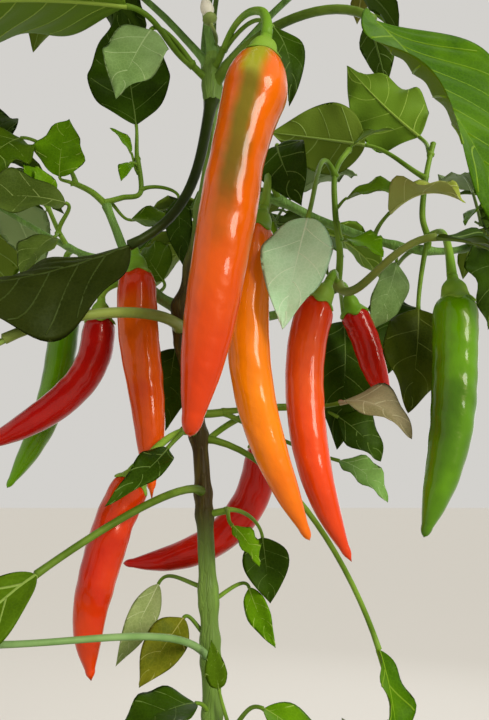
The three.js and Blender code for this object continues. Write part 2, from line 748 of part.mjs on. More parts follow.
        face: [-90, 10], stalk: 0.6 },
    ],
  },
};

// Crown parts that grow by the seeded rule from a bough's tip, and low side shoots of the stem from at
const MASSES = {
  crown_back: { on: "bough_top_back", seed: 27, turn: 100, rise: 30, twig: 24, generations: 2 },
  crown_top: { on: "main_stem", seed: 30, turn: 40, rise: 84, twig: 50, generations: 2 },
  crown_front: { on: "bough_top_front", seed: 55, turn: -84, rise: 34, twig: 32, generations: 2 },
  crown_left: { on: "bough_top_left", seed: 41, turn: 168, rise: 34, twig: 34, generations: 2 },
  crown_right: { on: "bough_top_right", seed: 12, turn: 12, rise: 34, twig: 34, generations: 2 },
  inner_back: { on: "bough_back", seed: 3, turn: 74, rise: 24, twig: 20, generations: 2 },
  side_left: { on: "bough_left_low", seed: 50, turn: 145, rise: 26, twig: 20, generations: 2 },
  side_right: { on: "bough_right", seed: 30, turn: 35, rise: 28, twig: 18, generations: 2 },
  shoot_low_left: {
    on: "main_stem", at: [2, 1, 258], seed: 23, turn: 160, rise: 26, twig: 44, generations: 1,
  },
  shoot_low_right: {
    on: "main_stem", at: [1, 0, 288], seed: 28, turn: 8, rise: 10, twig: 42, generations: 1,
  },
  shoot_low_front: {
    on: "main_stem", at: [2, 0, 236], seed: 32, turn: -74, rise: 30, twig: 36, generations: 1,
  },
};

// The seeded rule: a twig forks in two, each fork bears leaves on stalks, and some forks a fruit
const FORK_SPREAD = 38;
const FORK_VARIES = [0.8, 1.3];
const FORK_TILT = [-12, 12];
const TWIG_CURL = [-5, 5];
const TWIG_SHRINK = 0.82;
const TWIG_LEAN = 0.9;
const TWIG_RADIUS = 1.45;
const TWIG_THINNER = 0.84;
const TWIG_SAMPLES = 4;
const LEAVES_AT_FORK = 1;
const LEAVES_AT_END = 2;
const LEAF_TRIES = 7;
const LEAF_REACH = 0.8;
const LEAF_SMALLER = 0.9;
const GOLDEN_TURN = 137.5;
const FRUIT_CHANCE = 0.42;
const FRUIT_TURN = 60;
const LOWEST = SOIL_LEVEL + 40;

// Ranges for seeded leaves: length, then width and stalk as shares of it, and the angles in degrees
const LEAF_RANGES = {
  long: [54, 96], wide: [0.5, 0.62], stalk: [0.28, 0.58], lean: [4, 34], droop: [30, 75], aside: [-15, 15],
  face: [60, 120], bow: [0.05, 0.15],
};
const STALK_RISE = 12;

// Ranges for seeded fruits: size, how far out the cap hangs from its twig, and the tip's swing
const FRUIT_RANGES = { long: [74, 112], across: [14, 17], out: [16, 26], swing: [-8, 8] };
const CAP_DROP = 15;
const FRUIT_BOW = 5;
const PEDICEL_RISE = 25;

// One candidate leaf on a twig; its numbers are all drawn before it is tried
function seededLeaf(random, at, turn, scale) {
  const draw = (range) => between(range, random());
  const long = draw(LEAF_RANGES.long) * scale;
  const width = long * draw(LEAF_RANGES.wide);
  const stalk = long * draw(LEAF_RANGES.stalk);
  const lean = draw(LEAF_RANGES.lean);
  const droop = lean - draw(LEAF_RANGES.droop);
  const side = turn + draw(LEAF_RANGES.aside);
  const face = draw(LEAF_RANGES.face);
  const bow = draw(LEAF_RANGES.bow);
  const base = at.clone().addScaledVector(heading(turn, lean), stalk);
  const tip = base.clone().addScaledVector(heading(side, droop), long);
  return {
    at: at.toArray(), leave: [turn, lean + STALK_RISE], base: base.toArray(), tip: tip.toArray(), width,
    face: [turn, face], bow,
  };
}

function tryLeaf(mass, leaf) {
  const samples = bladeSamples(leaf);
  const stalk = petiolePath(leaf, STALK_SAMPLES);
  if (!isClear(samples, (other) => other.radius + (other.kind === "blade" ? LEAF_CLEAR : LIMB_CLEAR))) return;
  if (!isClear(stalk, (other) => (other.owner === mass.name ? 0 : other.radius + LIMB_CLEAR))) return;
  if (!staysHidden([...samples, ...stalk])) return;
  if (samples.some((p) => p.z < LOWEST)) return;
  mass.leaves.push(leaf);
  take(samples, mass.name, "blade", 0);
  take(stalk, mass.name, "stalk", PETIOLE_RADIUS);
}

function tryFruit(mass, random, at, turn) {
  const draw = (range) => between(range, random());
  const long = draw(FRUIT_RANGES.long);
  const across = draw(FRUIT_RANGES.across);
  const cap = at.clone().addScaledVector(heading(turn, 0), draw(FRUIT_RANGES.out));
  cap.z -= CAP_DROP;
  const swing = draw(FRUIT_RANGES.swing);
  const tip = cap.clone().add(new THREE.Vector3(swing, swing, -long));
  const middle = cap.clone().add(tip).multiplyScalar(0.5).addScaledVector(heading(turn, 0), FRUIT_BOW);
  const fruit = {
    at: at.toArray(), leave: [turn, PEDICEL_RISE], cap: cap.toArray(), middle: middle.toArray(),
    tip: tip.toArray(), across,
  };
  const axis = fruitAxis(fruit, FRUIT_SAMPLES);
  if (!isClear(axis, (other) => other.radius + across / 2 + LIMB_CLEAR)) return;
  const sides = [-1, 1].map((sign) => new THREE.Vector3(sign * across / 2, 0, 0));
  if (!staysHidden(sides.flatMap((side) => axis.map((p) => p.clone().add(side))), 0)) return;
  if (tip.z < LOWEST) return;
  mass.fruits.push(fruit);
  take(axis, mass.name, "fruit", across / 2);
}

function growTwig(mass, random, from, turn, rise, length, generation) {
  const curl = between(TWIG_CURL, random());
  const to = from.clone().addScaledVector(heading(turn, rise), length);
  const middle = from.clone().add(to).multiplyScalar(0.5).addScaledVector(heading(turn + 90, 0), curl);
  const curve = arc(from, middle, to);
  const samples = steps(curve, TWIG_SAMPLES);
  const radius = TWIG_RADIUS * Math.pow(TWIG_THINNER, generation);
  if (generation > 0) {
    const others = (other) => (other.owner === mass.name ? 0 : other.radius + LIMB_CLEAR);
    if (!isClear(samples.slice(1), others) || !staysHidden(samples)) return;
    take(samples, mass.name, "twig", radius);
  }
  mass.twigs.push({ path: steps(curve, generation === 0 ? 2 : 1), foot: radius, tip: radius * TWIG_THINNER });
  const scale = Math.pow(LEAF_SMALLER, generation);
  const atEnd = generation === mass.generations;
  const most = mass.leaves.length + (atEnd ? LEAVES_AT_END : LEAVES_AT_FORK);
  const first = 360 * random();
  for (let k = 0; k < LEAF_TRIES; k += 1) {
    const at = curve.getPoint(1 - LEAF_REACH * k / LEAF_TRIES);
    const leaf = seededLeaf(random, at, first + GOLDEN_TURN * k, scale);
    if (mass.leaves.length < most) tryLeaf(mass, leaf);
  }
  if (random() < FRUIT_CHANCE) tryFruit(mass, random, to, first + FRUIT_TURN);
  if (atEnd) return;
  const tilt = between(FORK_TILT, random());
  for (const sign of [-1, 1]) {
    const spread = FORK_SPREAD * between(FORK_VARIES, random());
    growTwig(mass, random, to, turn + sign * spread, rise * TWIG_LEAN + sign * tilt, length * TWIG_SHRINK,
      generation + 1);
  }
}

// A limb's path and how its radius runs; the stem spreads at its foot
function limbPath(row) {
  const points = row.through.map(point);
  let long = 0;
  points.forEach((p, i) => { long += i ? p.distanceTo(points[i - 1]) : 0; });
  return throughPoints(points, Math.max(4, Math.round(long / STEM_STEP)));
}

function limbSolid(name, row, grow) {
  const path = row.path;
  const flared = name === "main_stem";
  const radiusAt = (t, i) => {
    const high = path[i].z - path[0].z;
    const flare = flared ? FLARE_EXTRA * Math.max(0, 1 - high / FLARE_HEIGHT) ** 2 : 0;
    return row.foot + (row.tip - row.foot) * Math.pow(t, flared ? STEM_TAPER : BOUGH_TAPER) + flare;
  };
  return limb(path, radiusAt, flared ? STEM_SIDES : BOUGH_SIDES, grow);
}

// The largest piece of a solid, without the scraps that a cut may leave
function largest(solid) {
  return solid.decompose().sort((a, b) => b.volume() - a.volume())[0];
}

function meshOf(name, solid, colour, roughness) {
  const { vertProperties, triVerts } = solid.getMesh();
  const geometry = new THREE.BufferGeometry();
  geometry.setAttribute("position", new THREE.BufferAttribute(vertProperties, 3));
  geometry.setIndex(new THREE.BufferAttribute(triVerts, 1));
  geometry.computeVertexNormals();
  const material = new THREE.MeshStandardMaterial({ color: colour, roughness, metalness: 0 });
  const mesh = new THREE.Mesh(geometry, material);
  mesh.name = name;
  return mesh;
}

// A turned solid from its half outline, which starts and ends on the axis
function turned(outline, sides) {
  const geometry = new THREE.LatheGeometry(outline.map(([r, z]) => new THREE.Vector2(r, z)), sides);
  geometry.deleteAttribute("normal");
  geometry.deleteAttribute("uv");
  geometry.rotateX(Math.PI / 2);
  const merged = mergeVertices(geometry, 1e-4);
  return new wasm.Manifold(new wasm.Mesh({
    numProp: 3,
    vertProperties: new Float32Array(merged.attributes.position.array),
    triVerts: new Uint32Array(merged.index.array),
  }));
}

const potRadiusAt = (z) => POT_BASE_RADIUS + (POT_TOP_RADIUS - RIM_STEP - POT_BASE_RADIUS) * (z / POT_HEIGHT);

function potSolid() {
  const under = POT_HEIGHT - RIM_HEIGHT;
  const mouth = potRadiusAt(POT_HEIGHT) - POT_WALL;
  return turned([
    [0, 0], [POT_BASE_RADIUS - POT_CHAMFER, 0], [POT_BASE_RADIUS, POT_CHAMFER],
    [potRadiusAt(under), under], [POT_TOP_RADIUS - POT_CHAMFER, under + POT_CHAMFER],
    [POT_TOP_RADIUS, under + RIM_UNDERSIDE], [POT_TOP_RADIUS, POT_HEIGHT - RIM_CHAMFER],
    [POT_TOP_RADIUS - RIM_CHAMFER, POT_HEIGHT], [mouth + POT_CHAMFER, POT_HEIGHT],
    [mouth, POT_HEIGHT - POT_CHAMFER], [POT_BASE_RADIUS - POT_WALL, POT_FLOOR], [0, POT_FLOOR],
  ], POT_SIDES);
}

function soilSolid() {
  const inside = (z) => {
    const share = (z - POT_FLOOR) / (POT_HEIGHT - POT_CHAMFER - POT_FLOOR);
    const foot = POT_BASE_RADIUS - POT_WALL;
    return foot + (potRadiusAt(POT_HEIGHT) - POT_WALL - foot) * share - SOIL_CLEAR;
  };
  const floor = POT_FLOOR + JOINT_GAP;
  const edge = SOIL_LEVEL - SOIL_SLUMP;
  const [dome, crest] = SOIL_DOME_RADII;
  return turned([
    [0, floor], [inside(floor), floor], [inside(edge), edge], [inside(edge) - SOIL_SLUMP, SOIL_LEVEL],
    [dome, SOIL_LEVEL + SOIL_DOME / 2], [crest, SOIL_LEVEL + SOIL_DOME], [0, SOIL_LEVEL + SOIL_DOME],
  ], POT_SIDES);
}

const plant = new THREE.Group();
plant.add(meshOf("pot", potSolid(), COLOURS.clay, 0.85));
plant.add(meshOf("soil", soilSolid(), COLOURS.soil, 1));

// Limbs, each cut clear of the one that carries it
const grown = {};
for (const [name, row] of Object.entries(LIMBS)) {
  row.path = limbPath(row);
  const whole = limbSolid(name, row, 0);
  const solid = row.on ? largest(whole.subtract(grown[row.on])) : whole;
  grown[name] = limbSolid(name, row, JOINT_GAP);
  const fine = throughPoints(row.through.map(point), row.path.length * 4);
  take(fine, name, "limb", row.foot);
  show(fine, row.foot);
  plant.add(meshOf(name, solid, name === "main_stem" ? COLOURS.stem : COLOURS.bough, 0.7));
}

// Leaves and fruits that show, kept for the seeded rule to stay clear of
for (const [name, spray] of Object.entries(SPRAYS)) {
  spray.twigs = (spray.twigs ?? []).map((twig) => (
    { ...twig, path: throughPoints(twig.through.map(point), (twig.through.length - 1) * 3) }));
  spray.leaves ??= [];
  spray.fruits ??= [];
  for (const twig of spray.twigs) take(twig.path, name, "twig", twig.foot);
  for (const leaf of spray.leaves) {
    take(bladeSamples(leaf), name, "blade", 0);
    take(petiolePath(leaf, STALK_SAMPLES), name, "stalk", PETIOLE_RADIUS);
    show(bladeSamples(leaf), BLADE_HIDES);
  }
  for (const fruit of spray.fruits) {
    const axis = fruitAxis(fruit, FRUIT_SAMPLES);
    take(axis, name, "fruit", fruit.across / 2);
    show(axis, fruit.across * FRUIT_HIDES);
  }
}

// Room for the first twig of each crown part, before any of them grows
for (const [name, mass] of Object.entries(MASSES)) {
  const carrier = LIMBS[mass.on].path;
  const end = carrier[carrier.length - 1];
  const along = end.clone().sub(carrier[carrier.length - 2]).normalize();
  mass.from = mass.at ? point(mass.at) : end.clone().addScaledVector(along, JOINT_GAP);
  const to = mass.from.clone().addScaledVector(heading(mass.turn, mass.rise), mass.twig);
  take(steps(new THREE.LineCurve3(mass.from, to), TWIG_SAMPLES), name, "twig", TWIG_RADIUS);
  Object.assign(mass, { name, twigs: [], leaves: [], fruits: [] });
}
for (const mass of Object.values(MASSES)) {
  growTwig(mass, seeded(mass.seed), mass.from, mass.turn, mass.rise, mass.twig, 0);
}

// Each spray and mass is one solid: twigs, leaves and fruits joined, and cut clear of what carries it
for (const [name, spray] of Object.entries({ ...SPRAYS, ...MASSES })) {
  const plain = name in MASSES;
  const solids = [
    ...spray.twigs.map((twig) => (
      limb(twig.path, (t) => twig.foot + (twig.tip - twig.foot) * t, plain ? PLAIN_TWIG_SIDES : TWIG_SIDES))),
    ...spray.leaves.map((leaf) => leafSolid(leaf, plain)),
    ...spray.fruits.map((fruit) => fruitSolid(fruit, plain)),
  ];
  const joined = wasm.Manifold.union(solids).subtract(grown[spray.on]).simplify(SIMPLER);
  plant.add(meshOf(name, largest(joined), COLOURS.leaf, 0.6));
}

export default plant;
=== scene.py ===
# Looks of a chilli pepper plant in a clay pot. Lengths are in millimetres up to the making of each mesh,
# +Z up, origin on the pot's flat underside, and the plant is seen along +Y, with +X to the right.
import math

import bpy
import mathutils
import numpy as np
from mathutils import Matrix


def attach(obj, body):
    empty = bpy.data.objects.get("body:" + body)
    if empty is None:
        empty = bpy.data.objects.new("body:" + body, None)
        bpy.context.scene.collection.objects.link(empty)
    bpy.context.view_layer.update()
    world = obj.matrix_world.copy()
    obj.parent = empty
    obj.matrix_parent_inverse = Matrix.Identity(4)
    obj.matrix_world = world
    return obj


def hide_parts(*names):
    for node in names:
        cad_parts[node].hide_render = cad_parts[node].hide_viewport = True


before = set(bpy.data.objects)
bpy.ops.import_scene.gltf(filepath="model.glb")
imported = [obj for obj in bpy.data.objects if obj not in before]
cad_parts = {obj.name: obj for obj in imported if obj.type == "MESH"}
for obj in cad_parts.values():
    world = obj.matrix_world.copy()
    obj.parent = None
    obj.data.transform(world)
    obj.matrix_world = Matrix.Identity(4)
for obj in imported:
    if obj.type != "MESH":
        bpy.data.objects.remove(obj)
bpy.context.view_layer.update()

MM = 0.001
TAU = 2 * math.pi

# Pot and soil
POT_HEIGHT = 200
POT_TOP_RADIUS = 110
POT_BASE_RADIUS = 78
POT_WALL = 7
RIM_HEIGHT = 30
RIM_STEP = 5
SOIL_LEVEL = 178
SOIL_DOME = 4
SOIL_FLOOR = 12

# The seeded rule's own numbers, as the solids have them
JOINT_GAP = 0.35
LEAF_CLEAR = 6.5
LIMB_CLEAR = 4.2
LEAF_SAMPLE = 6
STALK_SAMPLES = 9
LEAF_FOLD = 14
LEAF_BOW = 0.1
PETIOLE_RADIUS = 1.5
FRUIT_SAMPLES = 20
CALYX_LENGTH = 8
STEM_STEP = 22
STEM_TAPER = 0.45
BOUGH_TAPER = 0.8
FLARE_HEIGHT = 26
FLARE_EXTRA = 3.2
VIEW_FROM = (13, -285, 435)
VIEW_RISE = 12
VIEW_HALF_WIDTH = 0.384
VIEW_HALF_HEIGHT = 0.562
BLADE_HIDES = 5.5
FRUIT_HIDES = 0.45
NEAREST = 20
VIEW_SHARE = 0.12
FORK_SPREAD = 38
FORK_VARIES = (0.8, 1.3)
FORK_TILT = (-12, 12)
TWIG_CURL = (-5, 5)
TWIG_SHRINK = 0.82
TWIG_LEAN = 0.9
TWIG_RADIUS = 1.45
TWIG_THINNER = 0.84
TWIG_SAMPLES = 4
LEAVES_AT_FORK = 1
LEAVES_AT_END = 2
LEAF_TRIES = 7
LEAF_REACH = 0.8
LEAF_SMALLER = 0.9
GOLDEN_TURN = 137.5
FRUIT_CHANCE = 0.42
FRUIT_TURN = 60
LOWEST = SOIL_LEVEL + 40
LEAF_RANGES = {
    "long": (54, 96), "wide": (0.5, 0.62), "stalk": (0.28, 0.58), "lean": (4, 34), "droop": (30, 75),
    "aside": (-15, 15), "face": (60, 120), "bow": (0.05, 0.15),
}
STALK_RISE = 12
FRUIT_RANGES = {"long": (74, 112), "across": (14, 17), "out": (16, 26), "swing": (-8, 8)}
CAP_DROP = 15
FRUIT_BOW = 5
PEDICEL_RISE = 25
# Room for placed points, and how far apart two things no longer matter to each other
MOST_POINTS = 60000
FAR_APART = 36

# Finer growth between the seeded leaves: short side twigs with smaller leaves, and a few flowers
FINE_TWIGS = 4
FINE_RANGES = {
    "place": (0.25, 1), "turn": (0, 360), "rise": (-20, 60), "long": (9, 26), "curl": (-2, 2),
    "bloom": (0, 1), "scale": (0.85, 1.15),
}
FINE_RADIUS = 0.8
FINE_FOOT = 0.95
FINE_TIP = 0.6
FINE_LEAVES = 3
FINE_TRIES = 8
FINE_REACH = 0.7
FINE_SCALE = (0.32, 0.74)
FINE_CLEAR = 4
FINE_LIMB_CLEAR = 2.6
FINE_TWIG_CLEAR = 3
REACH_MARGIN = 6
FLOWER_CHANCE = 0.16

# How the meshes are made: size of a blade's faces, its thickness, steps along limbs and clay, a fruit's
# rings and sides, and the sides of other round forms
SPACING = {"near": 1.6, "crown": 3.6, "fine": 5}
BLADE_THICK = 0.5
BARK_STEP = 1.3
CLAY_STEP = 3.2
NEAR_FLESH = (110, 56)
CROWN_FLESH = (60, 32)
NEAR_CUP_SIDES = 40
CROWN_CUP_SIDES = 25
CALYX_TEETH = 5
STEM_SIDES = 44
BOUGH_SIDES = 26
POT_SIDES = 128
SOIL_SIDES = 120
# Seeds of the runs of numbers: leaves that show, crown, bark, soil
NEAR_SEED = 5
CROWN_SEED = 900
BARK_SEED = 11
SOIL_SEED = 77
# Crumbs and white grains on the soil: how many, their sizes, seed, and the share by which they sink in
CRUMBS = (900, (0.8, 3.4), 21, 0.3)
GRAINS = (110, (0.8, 2.1), 33, 0.2)
CRUMBS_WITHIN = 94
CLEAR_OF_STEM = 9
# A petal's length and width, and the share of openness under which a flower is a closed bud
PETAL = (7.8, 5.2)
CLOSED_UNDER = 0.45
# How one blade puckers, waves and twists: millimetres from vein to vein, then shares, waves and degrees
RELIEF_RANGES = {
    "veins": (11, 14), "sweep": (0.17, 0.25), "bulge": (0.011, 0.018), "wave": (0.04, 0.12),
    "waves": (1.6, 3.1), "left": (0, TAU), "right": (0, TAU), "twist": (-9, 9), "offset": (0, 1),
}

# A fruit's radius, as a share of its widest, at a share of its length
POINTED_SHAPE = (
    (0, 0.36), (0.012, 0.54), (0.03, 0.75), (0.055, 0.91), (0.09, 0.985), (0.16, 1), (0.3, 0.99),
    (0.45, 0.965), (0.62, 0.89), (0.78, 0.73), (0.9, 0.47), (0.965, 0.24),
)
RIPENING_SHAPE = (
    (0, 0.42), (0.008, 0.56), (0.022, 0.8), (0.045, 1.0), (0.075, 1.12), (0.11, 1.16), (0.17, 1.12),
    (0.26, 1.07), (0.4, 1.07), (0.55, 1.0), (0.7, 0.92), (0.8, 0.79), (0.89, 0.58), (0.95, 0.38),
)

# Leaf tones on screen: lighter and darker upper side, underside, veins
TONES = {
    "bright": ((96, 140, 10), (74, 116, 4), (98, 130, 34), (144, 172, 68)),
    "vivid": ((74, 114, 0), (54, 92, 0), (84, 114, 8), (108, 142, 20)),
    "mid": ((76, 104, 12), (58, 86, 6), (96, 118, 36), (126, 150, 68)),
    "dark": ((48, 74, 6), (36, 56, 4), (60, 84, 18), (92, 116, 50)),
    "drab": ((74, 92, 34), (54, 70, 20), (84, 100, 46), (110, 126, 66)),
    # deep: painted shade, a leaf coloured as dark as the shadow it hangs in, on upper side, underside and
    # veins
    "deep": ((38, 46, 10), (28, 36, 4), (42, 50, 12), (50, 62, 20)),
    "shade": ((62, 72, 10), (46, 58, 6), (66, 76, 16), (94, 106, 40)),
    "olive": ((110, 112, 24), (74, 84, 12), (112, 112, 40), (146, 146, 72)),
    "pale": ((124, 152, 94), (104, 134, 72), (128, 152, 98), (152, 176, 120)),
    "grey": ((188, 224, 180), (160, 200, 150), (166, 190, 146), (210, 232, 196)),
    "teal": ((118, 158, 80), (96, 138, 60), (122, 156, 90), (150, 184, 116)),
    "faded": ((150, 140, 106), (122, 114, 76), (156, 144, 112), (176, 168, 132)),
    "yellow": ((158, 172, 70), (138, 150, 54), (152, 160, 84), (184, 192, 120)),
    "wan": ((150, 162, 108), (122, 140, 78), (152, 162, 112), (178, 188, 142)),
}
CROWN_TONES = ("mid", "bright", "dark", "mid", "olive", "bright", "dark", "pale")
TONES_OF_A_MASS = 4

# Stalk and fruit tones on screen: the hue and what it shifts to
STALK_TONES = {
    "green": ((112, 146, 46), (86, 118, 26)),
    "young": ((150, 164, 96), (120, 140, 70)),
    "pale": ((134, 150, 72), (114, 132, 54)),
    "teal": ((128, 160, 100), (104, 140, 76)),
    "dark": ((42, 56, 12), (30, 42, 6)),
    "leek": ((104, 132, 44), (70, 96, 18)),
}
FRUIT_TONES = {
    "red": ((178, 20, 12), (150, 8, 10)),
    "green": ((90, 142, 0), (60, 102, 0)),
    "orange_red": ((228, 94, 10), (204, 50, 4)),
    "dark_red": ((212, 30, 12), (166, 14, 8)),
    "scarlet": ((204, 58, 4), (180, 26, 0)),
}
CROWN_FRUITS = ("red", "green", "orange_red", "dark_red")
# Fruits with several hues, from the tip up to the cap, and the heights of both ends in metres
GRADED = {
    "orange": (((224, 104, 0), (244, 132, 4), (240, 124, 8), (206, 74, 2)), 0.42, 0.55),
    "bright_red": (((206, 56, 6), (226, 66, 12), (240, 92, 26), (210, 44, 6)), 0.41, 0.52),
}

# The one bud that shows from the camera
NEAR_BUD = {"at": (-1, -2.5, 654), "turn": -70, "head": (-2.8, -20, 653), "open": 0.2, "size": 1.7}

# The key light: which way it shines, its strength, how wide it looks in radians, and its tint
KEY_LIGHT = {"way": (-0.72, 0.78, -0.44), "strength": 2.7, "wide": 0.46, "tint": (1, 0.95, 0.86)}
# Area lights: name, place, where it points, size in metres, watts, tint
LIGHTS = [
    ("fill", (-1.1, -0.5, 0.8), (0, 0, 0.5), (1.2, 1.2), 1.6, (1, 0.92, 0.78)),
    ("above", (0.1, 0.2, 1.9), (0, 0, 0.5), (1.6, 1.6), 3.2, (1, 0.98, 0.95)),
    ("back", (0.5, 1.3, 1.0), (0, 0, 0.5), (1.2, 1.2), 3, (0.95, 0.97, 1)),
]
WORLD_TINT = (0.93, 0.91, 0.87, 1)
WORLD_STRENGTH = 0.7
LENS = 32.5
SENSOR = 36
FLOOR_REACH = 30


def fruit_style(seed, waves, dents, wander, tail=0.4, shape=POINTED_SHAPE, bulges=()):
    """How a fruit's flesh bends, dents and ends. A bulge is its place, width, way and height."""
    return {"seed": seed, "waves": waves, "dents": dents, "wander": wander, "tail": tail, "shape": shape,
            "bulges": bulges}


def a_twig(foot, tip, *through):
    """A twig: its radius at both ends and the points of its path."""
    return {"part": "twigs", "foot": foot, "tip": tip, "through": through}


def a_fruit(skin, at, leave, cap, middle, tip, across):
    """A fruit: its stalk leaves the plant by a turn and a rise, its flesh bows from cap to tip."""
    return {"part": "fruits", "skin": skin, "at": at, "leave": leave, "cap": cap, "middle": middle,
            "tip": tip, "across": across}


def a_leaf(tone, at, leave, base, tip, width, face, stalk, **more):
    """A leaf: leave and face are each a turn and a rise, stalk its girth against the usual one."""
    return {"part": "leaves", "tone": tone, "at": at, "leave": leave, "base": base, "tip": tip,
            "width": width, "face": face, "stalk": stalk, "bow": LEAF_BOW, "fold": LEAF_FOLD, "sweep": 0,
            "stout": 1, "slim": 1, "stalk_tone": "green", "size": "near", **more}


def spray(*parts):
    """A spray's twigs, fruits and leaves, each kind in a list of its own."""
    return {kind: [row for row in parts if row["part"] == kind] for kind in ("twigs", "fruits", "leaves")}


FRUIT_STYLES = {
    "ripening": fruit_style(3, 0.02, 0.016, 0.6, shape=RIPENING_SHAPE, bulges=(
        (0.12, 0.05, (1, -0.3, 0), 0.11), (0.31, 0.09, (1, 0, 0), -0.1))),
    "orange": fruit_style(8, 0.04, 0.024, 0.9),
    "bright_red": fruit_style(12, 0.045, 0.022, 1.3, tail=1.4),
    "dark_red": fruit_style(19, 0.04, 0.02, 1.0),
    "green": fruit_style(23, 0.04, 0.022, 1.0),
    "red": fruit_style(31, 0.05, 0.024, 1.5, tail=1.5),
    "orange_red": fruit_style(35, 0.045, 0.022, 1.2, tail=4),
    "scarlet": fruit_style(44, 0.06, 0.032, 1.0, tail=1, bulges=(
        (0.34, 0.06, (0.2, -1, 0), 0.1), (0.46, 0.06, (0.2, -1, 0), -0.06), (0.6, 0.06, (0, -1, 0), 0.09))),
}

# Limbs: name, radius at foot and tip, and a smooth path
LIMBS = {name: {"foot": foot, "tip": tip, "through": through} for name, foot, tip, *through in (
    ("main_stem", 5.2, 2.3, (0, 0, SOIL_LEVEL + SOIL_DOME + JOINT_GAP), (2, 1, 260), (0, 0, 348),
     (-3, 0, 410), (-7, 3, 460), (-12, 2, 487), (-16, 0, 511), (-11, 0, 543), (-7, 0, 570), (-3, 0, 605),
     (-3, 0, 638), (-2, 1, 656)),
    ("bough_left", 2.6, 1.9, (-15, 0, 519), (-28, 2, 527), (-41, 4, 544), (-49, 7, 562), (-54, 9, 574)),
    ("bough_left_low", 1.9, 1.3, (-42, 4, 546), (-59, 7, 547), (-76, 12, 556), (-98, 26, 572),
     (-122, 40, 590)),
    ("bough_right", 2.4, 1.5, (-7, 0, 568), (22, 3, 576), (50, 6, 565), (76, 4, 554), (98, 1, 548),
     (118, 12, 553), (136, 22, 562)),
    ("bough_right_low", 2.4, 1.8, (-15, 0, 520), (18, 6, 517), (40, 6, 523), (56, 4, 531)),
    ("bough_top_left", 2.1, 1.6, (-3, 0, 643), (-14, 5, 660), (-28, 10, 680), (-40, 14, 695)),
    ("bough_top_right", 2.1, 1.6, (-3, 0, 637), (10, 6, 658), (26, 11, 682), (40, 15, 700)),
    ("bough_top_front", 1.9, 1.5, (-2.5, 0.5, 650), (-6, -9, 668), (-4, -20, 686), (0, -30, 700)),
    ("bough_back", 2.3, 1.7, (-11, 0, 540), (-8, 26, 546), (-2, 52, 558), (6, 76, 580)),
    ("bough_top_back", 2.2, 1.6, (-3, 0, 628), (-8, 14, 658), (-7, 30, 706), (-2, 42, 752)),
)}

